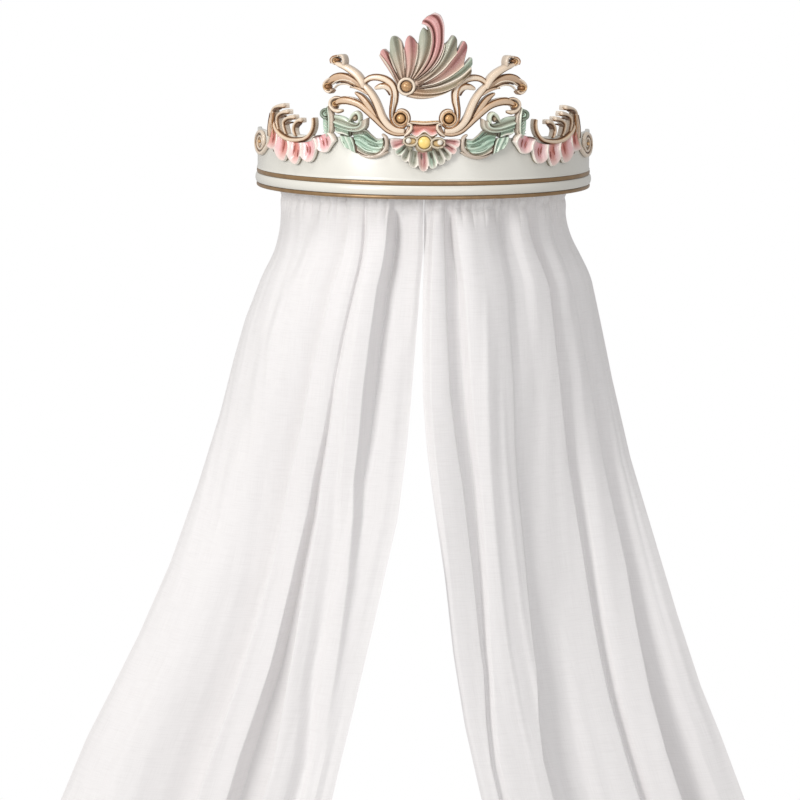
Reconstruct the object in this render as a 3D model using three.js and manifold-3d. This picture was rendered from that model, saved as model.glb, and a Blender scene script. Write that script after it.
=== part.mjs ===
import * as THREE from 'three';
import { mergeVertices } from 'three/addons/utils/BufferGeometryUtils.js';
import Module from 'manifold-3d';

const wasm = await Module();
wasm.setup();

// A half round bed crown for a wall, in millimetres, with +Z up. The wall is the plane y = 0,
// the crown bows out toward -Y, and the origin is the middle of the rail's rear face.
const degree = Math.PI / 180;
const quarterTurn = 90 * degree;

// Fit between pieces that touch
const seam = 0.3;
const ornamentSeam = 0.5;
const weldDistance = 0.002;

// The rim's rings, from the bottom up
const crownRadius = 306;
const bandThickness = 8;
const bandHeight = 73.5;
const lowerBeadHeight = 7;
const lowerBeadBulge = 2;
const mouldingHeight = 17.5;
const mouldingBulge = 4;
const upperBeadHeight = 8;
const upperBeadBulge = 1.5;
const rimDrop = 64;
const ringSteps = 30;
const beadArcSteps = 3;
const mouldingArcSteps = 5;

const rimZ = -rimDrop;
const mouldingZ = rimZ + lowerBeadHeight;
const upperBeadZ = mouldingZ + mouldingHeight;
const bandZ = upperBeadZ + upperBeadHeight;
const bandTopZ = bandZ + bandHeight;
const bandInner = crownRadius - bandThickness;

// The wall rail, its end blocks and its hanging plates
const railHeight = 30;
const railThickness = 14;
const blockAngle = 6.5 * degree;
const blockClear = 0.55;
const plateLength = 45;
const plateWidth = 16;
const plateThickness = 2;
const plateSpacing = 360;
const keyRadius = 4.5;
const keySlotWidth = 4.2;
const keySlotRise = 9;
const nailRoom = 7;

// The curtain track and what holds it
const trackInset = 44;
const trackWidth = 16;
const trackHeight = 14;
const trackWall = 1.5;
const trackSlot = 5.2;
const trackRise = 58;
const trackSteps = 24;
const bracketWidth = 20;
const bracketSheet = 2.4;
const bracketRise = 26;
const bracketBack = 0.8;
const bracketLap = 14;
const bracketAngle = 52 * degree;

const trackRadius = crownRadius - trackInset;
const trackZ = rimZ + trackRise;
const trackTopZ = trackZ + trackHeight;
const trackEnd = Math.acos((railThickness + blockClear) / (trackRadius - trackWidth / 2));

// Screws
const screwHeadRadius = 3.6;
const screwHeadHeight = 2;
const screwShankRadius = 1.7;
const screwFit = 0.3;
const screwSeat = 0.45;
const screwOpening = 6;
const screwSides = 8;
const railScrewBite = 18;
const bandScrewBite = 4.5;

// Gliders and the hooks that carry the heading
const sliderLength = 10;
const sliderPlay = 1.2;
const sliderHeight = 5;
const sliderLift = 0.35;
const neckThickness = 3;
const armHeight = 3;
const armGap = 1;
const hookWidth = 4;
const hookThickness = 3;
const hookLength = 27;
const hookGap = 0.5;
const gliderAngles = [1.4, 22.5, 45, 67.5].map((a) => a * degree);
const endHookAngle = 84.6 * degree;
const gliderNames = ['lead', 'second', 'third', 'fourth'];

// Drapes
const headingRise = 47;
const drapeDrop = 2240;
const drapeThickness = 1.6;
const gatherDepth = 7;
const gathersPerHook = 3;
const columnsPerGather = 3;
const headingHeight = 75;
const gatherLength = 420;
const foldDepth = 34;
const hemFoldDepth = 42;
const foldStart = 60;
const foldLength = 520;
const flareStart = 60;
const flareLength = 800;
const headingEase = 150;
const drapeInnerAngle = 0.5 * degree;
const drapeOuterAngle = 88.2 * degree;
const innerDepthLow = 205;
const outerDepthTop = 12;
const outerDepthLow = 42;
const hemInnerDepth = 170;
const hemOuterDepth = 60;
const hemInnerReach = 440;
const hemOuterReach = 1120;
const hemLift = 70;
const drapeRowShares = [0, 0.034, 0.08, 0.14, 0.215, 0.315, 0.44, 0.6, 0.79, 1];

const headingTopZ = rimZ + headingRise;

// The view in which the ornament's outlines and the drapes' edges were measured, in pixels
const viewCentre = 400;
const viewFocalPixels = 3200;
const viewTilt = 8.68 * degree;
const viewRoll = 0.4 * degree;
const viewXShare = -0.1307;
const viewDistanceShare = 19.327;
const viewRiseShare = 1.288;
const foldTopPixel = 196;
const foldLowPixel = 797;

const viewX = crownRadius * viewXShare;
const viewDistance = crownRadius * viewDistanceShare;
const viewZ = bandTopZ + crownRadius * viewRiseShare;
const pixelSize = (viewDistance - crownRadius) / viewFocalPixels;

// Materials
function finish(colour, roughness, metalness) {
  return new THREE.MeshStandardMaterial({ color: colour, roughness, metalness });
}
const lacquer = finish(0xe6e3dc, 0.25, 0);
const agedGold = finish(0xa67c45, 0.4, 0.6);
const cream = finish(0xe3d8c6, 0.3, 0);
const rose = finish(0xd98c86, 0.35, 0);
const shellRose = finish(0xc48a86, 0.35, 0);
const leafGreen = finish(0x9cc0a6, 0.35, 0);
const yellow = finish(0xe6c878, 0.3, 0);
const pearl = finish(0xf2f0ea, 0.2, 0);
const muslin = finish(0xf3f0ec, 0.9, 0);
const timber = finish(0xd8c3a0, 0.7, 0);
const steel = finish(0xb8babd, 0.35, 1);
const trackMetal = finish(0xe4e4e2, 0.45, 0.2);
const nylon = finish(0xf4f4f2, 0.5, 0);

const crown = new THREE.Group();
crown.name = 'bed_crown_canopy';

// Small tools for closed shapes
function smooth(x) {
  const t = Math.min(1, Math.max(0, x));
  return t * t * (3 - 2 * t);
}

function mix(a, b, t) {
  return a + (b - a) * t;
}

function mixAll(a, b, t) {
  return a.map((value, i) => mix(value, b[i], t));
}

function polar(radius, angle, z) {
  return [radius * Math.sin(angle), -radius * Math.cos(angle), z];
}

function volumeOf(points, faces) {
  const [a, b, c] = [new THREE.Vector3(), new THREE.Vector3(), new THREE.Vector3()];
  let sum = 0;
  for (const face of faces) {
    a.fromArray(points[face[0]]);
    b.fromArray(points[face[1]]);
    c.fromArray(points[face[2]]);
    sum += a.dot(b.cross(c)) / 6;
  }
  return sum;
}

function closed(points, faces) {
  const turned = volumeOf(points, faces) < 0;
  const order = turned ? faces.map((f) => [f[0], f[2], f[1]]) : faces;
  const geometry = new THREE.BufferGeometry();
  geometry.setAttribute('position', new THREE.Float32BufferAttribute(points.flat(), 3));
  geometry.setIndex(order.flat());
  return geometry;
}

function welded(geometry) {
  const bare = geometry.clone();
  bare.deleteAttribute('normal');
  bare.deleteAttribute('uv');
  return mergeVertices(bare, weldDistance);
}

function toSolid(geometry) {
  const shape = welded(geometry);
  const mesh = new wasm.Mesh({
    numProp: 3,
    vertProperties: new Float32Array(shape.attributes.position.array),
    triVerts: new Uint32Array(shape.index.array),
  });
  mesh.merge();
  return new wasm.Manifold(mesh);
}

function fromSolid(solid) {
  const mesh = solid.getMesh();
  const geometry = new THREE.BufferGeometry();
  const array = new Float32Array(mesh.vertProperties);
  geometry.setAttribute('position', new THREE.BufferAttribute(array, 3));
  geometry.setIndex(Array.from(mesh.triVerts));
  return largestPiece(geometry);
}

// Cuts can leave loose crumbs, so a piece keeps only its largest body
function largestPiece(geometry) {
  const shape = welded(geometry);
  const position = shape.attributes.position;
  const index = shape.index.array;
  const parent = Array.from({ length: position.count }, (unused, i) => i);
  const find = (i) => {
    let at = i;
    while (parent[at] !== at) {
      parent[at] = parent[parent[at]];
      at = parent[at];
    }
    return at;
  };
  for (let i = 0; i < index.length; i += 3) {
    parent[find(index[i])] = find(index[i + 1]);
    parent[find(index[i + 1])] = find(index[i + 2]);
  }
  const groups = new Map();
  for (let i = 0; i < index.length; i += 3) {
    const root = find(index[i]);
    if (!groups.has(root)) groups.set(root, []);
    groups.get(root).push([index[i], index[i + 1], index[i + 2]]);
  }
  const points = [];
  for (let i = 0; i < position.count; i += 1) {
    points.push([position.getX(i), position.getY(i), position.getZ(i)]);
  }
  let best = null;
  let most = 0;
  for (const faces of groups.values()) {
    const size = Math.abs(volumeOf(points, faces));
    if (size > most) {
      most = size;
      best = faces;
    }
  }
  const used = new Map();
  const kept = [];
  const order = best.map((face) => face.map((i) => {
    if (!used.has(i)) {
      used.set(i, kept.length);
      kept.push(points[i]);
    }
    return used.get(i);
  }));
  return closed(kept, order);
}

function united(geometries) {
  let solid = toSolid(geometries[0]);
  for (const other of geometries.slice(1)) solid = solid.add(toSolid(other));
  return solid;
}

function without(solid, cutters) {
  let rest = solid;
  for (const cutter of cutters) rest = rest.subtract(toSolid(cutter));
  return rest;
}

function add(name, material, geometry) {
  const shape = welded(geometry);
  shape.computeVertexNormals();
  const mesh = new THREE.Mesh(shape, material);
  mesh.name = name;
  crown.add(mesh);
}

// A row of equal closed outlines joined to one body, capped at both ends
function loft(sections, capFaces, loop) {
  const points = sections.flat();
  const size = sections[0].length;
  const faces = [];
  const spans = loop ? sections.length : sections.length - 1;
  for (let i = 0; i < spans; i += 1) {
    const next = (i + 1) % sections.length;
    for (let j = 0; j < size; j += 1) {
      const k = (j + 1) % size;
      const [a, b] = [i * size + j, i * size + k];
      const [c, d] = [next * size + k, next * size + j];
      faces.push([a, b, c], [a, c, d]);
    }
  }
  if (!loop) {
    const last = (sections.length - 1) * size;
    for (const [a, b, c] of capFaces) {
      faces.push([a, c, b], [last + a, last + b, last + c]);
    }
  }
  return closed(points, faces);
}

function fanCap(size) {
  const faces = [];
  for (let i = 1; i < size - 1; i += 1) faces.push([0, i, i + 1]);
  return faces;
}

function outlineCap(outline) {
  const contour = outline.map(([x, y]) => new THREE.Vector2(x, y));
  return THREE.ShapeUtils.triangulateShape(contour, []);
}

// An outline in (radius, height), turned about the crown's axis
function ring(outline, from, to, steps) {
  const sections = [];
  for (let i = 0; i <= steps; i += 1) {
    const angle = mix(from, to, i / steps);
    sections.push(outline.map(([radius, z]) => polar(radius, angle, z)));
  }
  return loft(sections, outlineCap(outline), false);
}

function rectangle(r0, r1, z0, z1) {
  return [[r0, z0], [r1, z0], [r1, z1], [r0, z1]];
}

function bulged(z0, z1, bulge, steps) {
  const outline = [[bandInner, z1], [bandInner, z0]];
  for (let i = 0; i <= steps; i += 1) {
    const turn = Math.PI * (i / steps);
    const z = mix(z0, z1, (1 - Math.cos(turn)) / 2);
    outline.push([crownRadius + bulge * Math.sin(turn), z]);
  }
  return outline;
}

// A box in the directions along the crown, outward and up
function placedBox(angle, along, outward, up) {
  const width = along[1] - along[0];
  const depth = outward[1] - outward[0];
  const height = up[1] - up[0];
  const box = new THREE.BoxGeometry(width, depth, height);
  const x = (along[0] + along[1]) / 2;
  const y = -(outward[0] + outward[1]) / 2;
  box.translate(x, y, (up[0] + up[1]) / 2);
  box.rotateZ(angle);
  return box;
}

function span(middle, size) {
  return [middle - size / 2, middle + size / 2];
}

// A round body about the +Y direction from y = 0, its outline in (radius, y)
function turned(outline, sides) {
  const points = outline.map(([x, y]) => new THREE.Vector2(x, y));
  return welded(new THREE.LatheGeometry(points, sides));
}

function screwBody(length, extra) {
  const head = screwHeadRadius + extra;
  const shank = screwShankRadius + extra;
  const top = -extra * screwOpening;
  return turned([
    [0, top],
    [head, top],
    [head, screwHeadHeight + extra],
    [shank, screwHeadHeight + extra],
    [shank, length + extra],
    [0, length + extra],
  ], screwSides);
}

// Turns a body that points along +Y so that it points outward from the crown's axis
function pointOutward(body, radius, angle, z) {
  body.rotateZ(Math.PI);
  body.translate(0, -radius, z);
  body.rotateZ(angle);
  return body;
}

// Rim, beads and band
const halfTurn = [-quarterTurn, quarterTurn, ringSteps];
const lowerBead = bulged(rimZ, mouldingZ - seam, lowerBeadBulge, beadArcSteps);
const moulding = bulged(mouldingZ, upperBeadZ - seam, mouldingBulge, mouldingArcSteps);
const upperBead = bulged(upperBeadZ, bandZ - seam, upperBeadBulge, beadArcSteps);
add('lower_gold_bead', agedGold, ring(lowerBead, ...halfTurn));
add('rim_moulding', lacquer, ring(moulding, ...halfTurn));
add('upper_gold_bead', agedGold, ring(upperBead, ...halfTurn));

const blockOuter = bandInner - 2 * seam;
const blockInner = trackRadius + trackWidth / 2 + 2 * seam;
const blockEnd = Math.acos((railThickness + blockClear) / blockInner);
const blockMiddle = blockEnd - blockAngle / 2;
const bracketAngles = [-bracketAngle, 0, bracketAngle];
const bracketNames = ['left', 'middle', 'right'];
const bracketOuter = bandInner - bracketBack;
const bracketInner = bracketOuter - bracketSheet;
const bracketZ = trackTopZ + seam;
const bracketScrewZ = bracketZ + bracketRise - bracketWidth / 2;

const bracketScrewHead = bracketInner - screwHeadHeight - screwSeat;
const bandScrewEnd = bandInner + bandScrewBite;

function bracketScrew(angle, extra) {
  const body = screwBody(bandScrewEnd - bracketScrewHead, extra);
  return pointOutward(body, bracketScrewHead, angle, bracketScrewZ);
}

function blockScrew(angle, extra) {
  const body = screwBody(bandScrewEnd - blockInner - seam, extra);
  return pointOutward(body, blockInner + seam, angle, -railHeight / 4);
}

const railScrewX = (blockInner + blockOuter) / 2;

function railScrew(side, extra) {
  const body = screwBody(railThickness + railScrewBite, extra);
  body.rotateZ(Math.PI);
  body.translate(side * railScrewX, -2 * seam, railHeight / 4);
  return body;
}

const bandSolid = toSolid(ring(rectangle(bandInner, crownRadius, bandZ, bandTopZ), ...halfTurn));
const bandHoles = bracketAngles.map((angle) => bracketScrew(angle, screwFit));
bandHoles.push(blockScrew(-blockMiddle, screwFit), blockScrew(blockMiddle, screwFit));
add('fascia_band', lacquer, fromSolid(without(bandSolid, bandHoles)));

// Rail with its hanging plates
const railHalf = Math.sqrt(bandInner ** 2 - railThickness ** 2) - 2 * seam;
const plateAt = [-plateSpacing / 2, plateSpacing / 2];
const sides = [-1, 1];
const sideNames = ['left', 'right'];

function boxAt(x, y, z) {
  const box = new THREE.BoxGeometry(x[1] - x[0], y[1] - y[0], z[1] - z[0]);
  box.translate((x[0] + x[1]) / 2, (y[0] + y[1]) / 2, (z[0] + z[1]) / 2);
  return box;
}

const railBox = boxAt([-railHalf, railHalf], [-railThickness, 0], span(0, railHeight));
const railCuts = [];
for (const x of plateAt) {
  const roomX = span(x, plateLength + 2 * seam);
  const roomZ = span(0, plateWidth + 2 * seam);
  railCuts.push(boxAt(roomX, [-plateThickness - seam, seam], roomZ));
  const nailX = span(x, keySlotRise + 4 * keyRadius);
  const nailZ = span(0, 2 * keyRadius + 2 * seam);
  railCuts.push(boxAt(nailX, [-plateThickness - nailRoom, seam], nailZ));
}
for (const side of sides) railCuts.push(railScrew(side, screwFit));
add('back_rail', timber, fromSolid(without(toSolid(railBox), railCuts)));

plateAt.forEach((x, i) => {
  const plate = boxAt(span(x, plateLength), [-plateThickness, 0], span(0, plateWidth));
  const hole = new THREE.CylinderGeometry(keyRadius, keyRadius, nailRoom, 16);
  hole.translate(x - keySlotRise / 2, 0, 0);
  const slot = boxAt([x - keySlotRise / 2, x + keySlotRise], span(0, nailRoom), span(0, keySlotWidth));
  const solid = without(toSolid(plate), [hole, slot]);
  add(`keyhole_plate_${sideNames[i]}`, steel, fromSolid(solid));
});

sides.forEach((side, i) => {
  const outline = rectangle(blockInner, blockOuter, -railHeight / 2, railHeight / 2);
  const body = ring(outline, side * (blockEnd - blockAngle), side * blockEnd, 2);
  const holes = [railScrew(side, screwFit), blockScrew(side * blockMiddle, screwFit)];
  add(`end_block_${sideNames[i]}`, timber, fromSolid(without(toSolid(body), holes)));
  add(`rail_screw_${sideNames[i]}`, steel, railScrew(side, 0));
  add(`block_screw_${sideNames[i]}`, steel, blockScrew(side * blockMiddle, 0));
});

// Curtain track, open below, and its brackets
const trackIn = trackRadius - trackWidth / 2;
const trackOut = trackRadius + trackWidth / 2;
const slotIn = trackRadius - trackSlot / 2;
const slotOut = trackRadius + trackSlot / 2;
const trackOutline = [
  [slotOut, trackZ],
  [trackOut, trackZ],
  [trackOut, trackTopZ],
  [trackIn, trackTopZ],
  [trackIn, trackZ],
  [slotIn, trackZ],
  [slotIn, trackZ + trackWall],
  [trackIn + trackWall, trackZ + trackWall],
  [trackIn + trackWall, trackTopZ - trackWall],
  [trackOut - trackWall, trackTopZ - trackWall],
  [trackOut - trackWall, trackZ + trackWall],
  [slotOut, trackZ + trackWall],
];
add('curtain_track', trackMetal, ring(trackOutline, -trackEnd, trackEnd, trackSteps));

bracketAngles.forEach((angle, i) => {
  const wide = span(0, bracketWidth);
  const upright = placedBox(angle, wide, [bracketInner, bracketOuter], [bracketZ, bracketZ + bracketRise]);
  const arm = placedBox(
    angle,
    wide,
    [trackRadius - bracketLap / 2, bracketOuter],
    [bracketZ, bracketZ + bracketSheet],
  );
  const solid = without(united([upright, arm]), [bracketScrew(angle, screwFit)]);
  add(`track_bracket_${bracketNames[i]}`, steel, fromSolid(solid));
  add(`bracket_screw_${bracketNames[i]}`, steel, bracketScrew(angle, 0));
});

// Gliders: a slider in the track, a neck through its slot, and a hook behind the heading
const hookOuter = trackRadius - gatherDepth - drapeThickness / 2 - hookGap;
const sliderZ = trackZ + trackWall + sliderLift;
const armTopZ = trackZ - armGap;

function hookBody(angle) {
  const neck = trackRadius + neckThickness / 2;
  const sliderWidth = trackWidth - 2 * trackWall - 2 * sliderPlay;
  const slider = placedBox(
    angle,
    span(0, sliderLength),
    span(trackRadius, sliderWidth),
    [sliderZ, sliderZ + sliderHeight],
  );
  const post = placedBox(
    angle,
    span(0, neckThickness),
    span(trackRadius, neckThickness),
    [armTopZ - armHeight / 2, sliderZ + sliderHeight / 2],
  );
  const arm = placedBox(
    angle,
    span(0, hookWidth),
    [hookOuter - hookThickness, neck + seam],
    [armTopZ - armHeight, armTopZ],
  );
  const tab = placedBox(
    angle,
    span(0, hookWidth),
    [hookOuter - hookThickness, hookOuter],
    [armTopZ - hookLength, armTopZ - armHeight / 2],
  );
  return fromSolid(united([slider, post, arm, tab]));
}

sides.forEach((side, i) => {
  gliderAngles.forEach((angle, j) => {
    add(`${sideNames[i]}_glider_${gliderNames[j]}`, nylon, hookBody(side * angle));
  });
  add(`${sideNames[i]}_end_hook`, nylon, hookBody(side * endHookAngle));
});

// The measuring view: from a pixel to the crown's face or to an upright plane
function lineOfSight([px, py]) {
  const [x0, y0] = [px - viewCentre, py - viewCentre];
  const x = x0 * Math.cos(viewRoll) + y0 * Math.sin(viewRoll);
  const y = y0 * Math.cos(viewRoll) - x0 * Math.sin(viewRoll);
  const [right, down] = [x / viewFocalPixels, y / viewFocalPixels];
  const forward = Math.cos(viewTilt) - down * Math.sin(viewTilt);
  const up = -Math.sin(viewTilt) - down * Math.cos(viewTilt);
  return [right, forward, up];
}

// Arc length along the band and height above the rail, on a face this far outside the band
function onCrown(pixel, outward) {
  const [dx, dy, dz] = lineOfSight(pixel);
  const radius = crownRadius + outward;
  const a = dx * dx + dy * dy;
  const b = viewX * dx - viewDistance * dy;
  const c = viewX ** 2 + viewDistance ** 2 - radius ** 2;
  const t = (-b - Math.sqrt(Math.max(0, b * b - a * c))) / a;
  const [x, y] = [viewX + t * dx, -viewDistance + t * dy];
  return [crownRadius * Math.atan2(x, -y), viewZ + t * dz];
}

function onPlane(pixel, depth) {
  const [dx, dy, dz] = lineOfSight(pixel);
  const t = (viewDistance - depth) / dy;
  return [viewX + t * dx, viewZ + t * dz];
}

function wrap([u, v, w]) {
  return polar(crownRadius + w, u / crownRadius, v);
}

// Smooth curve through points, evenly sampled by number
function curve(points, count, loop) {
  const line = points.map(([x, y]) => new THREE.Vector3(x, y, 0));
  const path = new THREE.CatmullRomCurve3(line, loop, 'centripetal');
  const out = [];
  const last = loop ? count : count - 1;
  for (let i = 0; i < count; i += 1) {
    const p = path.getPointAt(i / last);
    out.push([p.x, p.y]);
  }
  return out;
}

function sampled(values, t) {
  const at = t * (values.length - 1);
  const i = Math.min(values.length - 2, Math.floor(at));
  return mix(values[i], values[i + 1], at - i);
}

// Carved sections, as shares of the half width and of the height above the back
const ridgedShares = [[-1, 0.2], [-0.55, 1], [0, 0.55], [0.55, 1], [1, 0.2]];
const roundShares = [[-1, 0.25], [0, 1], [1, 0.25]];
const leafShares = [[-1, 0.45], [-0.5, 0.4], [0, 1], [0.5, 0.4], [1, 0.45]];

// A carved strand that runs along a line on the band. It is kept flat, as (u, v, w), until
// it is wrapped round the crown, and it can be made a little fuller to cut its neighbours.
function strand(plan) {
  const { path, widths, back, front, section, count, loop } = plan;
  const lowerWidths = plan.lowerWidths ?? widths;
  const line = curve(path, count, loop);
  const sections = line.map((point, i) => {
    const before = line[loop ? (i + count - 1) % count : Math.max(0, i - 1)];
    const after = line[loop ? (i + 1) % count : Math.min(count - 1, i + 1)];
    const t = i / (loop ? count : count - 1);
    const length = Math.hypot(after[0] - before[0], after[1] - before[1]);
    const normal = [-(after[1] - before[1]) / length, (after[0] - before[0]) / length];
    const place = (share, w) => {
      const half = pixelSize * sampled(share > 0 ? widths : lowerWidths, t);
      return [point[0] + normal[0] * half * share, point[1] + normal[1] * half * share, w];
    };
    const fullness = 0.45 + 0.55 * Math.min(1, sampled(widths, t) / Math.max(...widths));
    const rise = (front - Math.max(0, back)) * fullness;
    const top = section.map(([across, up]) => place(across, Math.max(0, back) + rise * up));
    return [...top, place(0.8, back), place(-0.8, back)];
  });
  return { sections, loop };
}

// A fan of flutes or petals between a root line and a line of tips
function fan(plan) {
  const { roots, tips, notchShare, back, front, curl, concave, rows, steps } = plan;
  const ends = [roots.map((p) => [...p]), []];
  const bound = (k) => {
    if (k === 0) return plan.first;
    if (k === tips.length) return plan.last;
    return mixAll(mixAll(tips[k - 1], tips[k], 0.5), roots[k], notchShare);
  };
  for (let k = 0; k < tips.length; k += 1) {
    const [a, b] = [bound(k), bound(k + 1)];
    for (let i = 0; i < steps; i += 1) {
      const t = i / steps;
      const chord = mixAll(a, b, t);
      const middle = mixAll(a, b, 0.5);
      const lift = Math.sin(Math.PI * t) ** 0.7;
      ends[1].push([
        chord[0] + (tips[k][0] - middle[0]) * lift,
        chord[1] + (tips[k][1] - middle[1]) * lift,
      ]);
    }
  }
  ends[1].push(bound(tips.length));
  const columns = ends[1].length;
  const sections = [];
  for (let c = 0; c < columns; c += 1) {
    const t = c / steps;
    const k = Math.min(tips.length - 1, Math.floor(t));
    const root = mixAll(roots[k], roots[k + 1], t - k);
    const wave = Math.abs(Math.sin(Math.PI * (t - k)));
    const sweep = plan.sweeps ? mixAll(plan.sweeps[k], plan.sweeps[k + 1], t - k) : [0, 0];
    const relief = concave ? 1 - wave : wave;
    const topSide = [];
    const backSide = [];
    for (let r = 0; r <= rows; r += 1) {
      const out = r / rows;
      const sway = 4 * out * (1 - out);
      const straight = mixAll(root, ends[1][c], out);
      const [u, v] = [straight[0] + sway * sweep[0], straight[1] + sway * sweep[1]];
      const bend = curl * out * out;
      const depth = (front - Math.max(0, back)) * (0.45 + 0.55 * relief * (0.4 + 0.6 * out));
      topSide.push([u, v, Math.max(0, back) + depth + bend]);
      backSide.unshift([u, v, back]);
    }
    sections.push([...topSide, ...backSide]);
  }
  return { sections, loop: false };
}

function strandBody(flat) {
  const sections = flat.sections.map((section) => section.map(wrap));
  const outline = flat.sections[0].map((p, i) => [i, p]);
  return loft(sections, flat.cap ?? fanCap(outline.length), flat.loop);
}

// Round knob seen from the front, flattened on its back, with a short straight edge
const domeEdge = 1;

function dome([u, v], radius, back, height, sides) {
  const rings = 4;
  const outline = [[0, back]];
  for (let i = 0; i <= rings; i += 1) {
    const turn = quarterTurn * (i / rings);
    outline.push([radius * Math.cos(turn), back + domeEdge + (height - domeEdge) * Math.sin(turn)]);
  }
  outline[outline.length - 1][0] = 0;
  const body = turned(outline, sides);
  return pointOutward(body, crownRadius, u / crownRadius, v);
}

function ball([u, v], radius, w) {
  const body = new THREE.SphereGeometry(radius, 10, 6);
  body.rotateX(quarterTurn);
  body.translate(0, -(crownRadius + w), v);
  body.rotateZ(u / crownRadius);
  return body;
}

// Moves every corner outward along its faces' mean direction
function fuller(geometry, amount) {
  const shape = welded(geometry);
  shape.computeVertexNormals();
  const { position, normal } = shape.attributes;
  for (let i = 0; i < position.count; i += 1) {
    position.setXYZ(
      i,
      position.getX(i) + amount * normal.getX(i),
      position.getY(i) + amount * normal.getY(i),
      position.getZ(i) + amount * normal.getZ(i),
    );
  }
  return shape;
}

// Pieces of ornament are laid in order: each one is cut clear of the band and of every piece
// that was laid before it.
const fullBand = ring(
  rectangle(bandInner - ornamentSeam, crownRadius + ornamentSeam, bandZ - seam, bandTopZ + seam),
  -quarterTurn,
  quarterTurn,
  ringSteps,
);
const laid = [];

function boxOf(geometry) {
  geometry.computeBoundingBox();
  return geometry.boundingBox.clone();
}

function lay(name, material, bodies) {
  let solid = united(bodies).subtract(toSolid(fullBand));
  for (const body of bodies) {
    const box = boxOf(body);
    for (const other of laid) {
      if (other.owner !== name && !other.used && other.box.intersectsBox(box)) {
        solid = solid.subtract(other.solid);
        other.used = true;
      }
    }
  }
  for (const other of laid) other.used = false;
  add(name, material, fromSolid(solid));
  for (const body of bodies) {
    const full = fuller(body, ornamentSeam);
    laid.push({ owner: name, box: boxOf(full), solid: toSolid(full), used: false });
  }
}

function sidePoints(side, pixels, w) {
  return pixels.map((p) => onCrown(p, w)).map(([u, v]) => [-side * u, v]);
}

// Depths of the ornament, outward from the band's face
const faceBack = 0.45;
const crestBack = -7;
const lowRelief = 5;
const midRelief = 8;
const highRelief = 11;
const fullRelief = 15;
const bossRelief = 12;
const pearlRise = 6;
const scrollPearlRise = 1;
const petalCurl = 2;
const shellCurl = 3;

// Centre: boss, pearls, bow, plaque, top rail and the shell below them
const bossPixel = [424, 142.6];
const bossPixels = 6.3;
const bowPearlPixels = [[408.8, 140.6], [439.8, 142.2]];
const bowPearlSize = 2.9;
add('centre_boss', yellow, dome(onCrown(bossPixel, 0), bossPixels * pixelSize, faceBack, bossRelief, 14));
const bossBody = dome(onCrown(bossPixel, 0), bossPixels * pixelSize, faceBack, bossRelief, 14);
const bossFull = fuller(bossBody, ornamentSeam);
laid.push({ owner: 'centre_boss', box: boxOf(bossFull), solid: toSolid(bossFull), used: false });

bowPearlPixels.forEach((pixel, i) => {
  const body = ball(onCrown(pixel, 0), bowPearlSize * pixelSize, bowPearlSize * pixelSize + faceBack);
  lay(`centre_pearl_${sideNames[i]}`, pearl, [body]);
});

function loopPixels([x, y], rx, ry) {
  const points = [];
  for (let i = 0; i < 10; i += 1) {
    const turn = (2 * Math.PI * i) / 10;
    points.push([x + rx * Math.cos(turn), y - ry * Math.sin(turn)]);
  }
  return points;
}

function crownPoints(pixels, w) {
  return pixels.map((p) => onCrown(p, w));
}

function faceRing(centre, rx, ry, half, front) {
  return strandBody(strand({
    path: crownPoints(loopPixels(centre, rx, ry), 0),
    widths: [half, half],
    back: faceBack,
    front,
    section: roundShares,
    count: 10,
    loop: true,
  }));
}

lay('centre_bow', cream, [
  faceRing(bossPixel, 7.9, 7.9, 1.4, midRelief),
  faceRing([410.6, 141], 6.2, 4.9, 1.6, midRelief),
  faceRing([437.8, 143], 6.2, 4.9, 1.6, midRelief),
]);

const plaquePixels = [[411.8, 129.3], [417, 129.3], [424.5, 129.3], [432, 129.3], [436.6, 129.3]];
lay('centre_plaque', rose, [strandBody(strand({
  path: crownPoints(plaquePixels, 0),
  widths: [5, 5.4, 5.6, 5.4, 5],
  lowerWidths: [4.4, 5.9, 2.6, 5.9, 4.4],
  back: crestBack,
  front: midRelief,
  section: leafShares,
  count: 9,
  loop: false,
}))]);

const topRailPixels = [
  [405.8, 128.4], [406.6, 124.4], [411, 121.6], [424.5, 123.4], [438.4, 121.8], [442.8, 125],
  [442.4, 129.4],
];
lay('centre_top_rail', agedGold, [strandBody(strand({
  path: crownPoints(topRailPixels, 0),
  widths: [1.2, 1.7, 1.9, 1.9, 1.9, 1.7, 1.2],
  back: crestBack,
  front: highRelief,
  section: roundShares,
  count: 15,
  loop: false,
}))]);

const petalTips = [
  [391.5, 145], [399.5, 158], [411.4, 166.5], [423.3, 170.7], [434.6, 168.4], [446, 163],
  [455.5, 153.5], [459.6, 142.6],
];
const petalRoots = [
  [404, 146], [408.5, 149.8], [413.5, 152.2], [418.5, 153.6], [424, 154.2], [429.5, 153.8],
  [434.6, 152.6], [439.4, 150.4], [444, 147.5],
];
lay('centre_shell', shellRose, [strandBody(fan({
  roots: crownPoints(petalRoots, 0),
  tips: crownPoints(petalTips, 0),
  first: onCrown([393, 138], 0),
  last: onCrown([458, 138], 0),
  notchShare: 0.22,
  back: faceBack,
  front: highRelief,
  curl: petalCurl,
  concave: true,
  rows: 2,
  steps: 4,
}))]);

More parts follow.
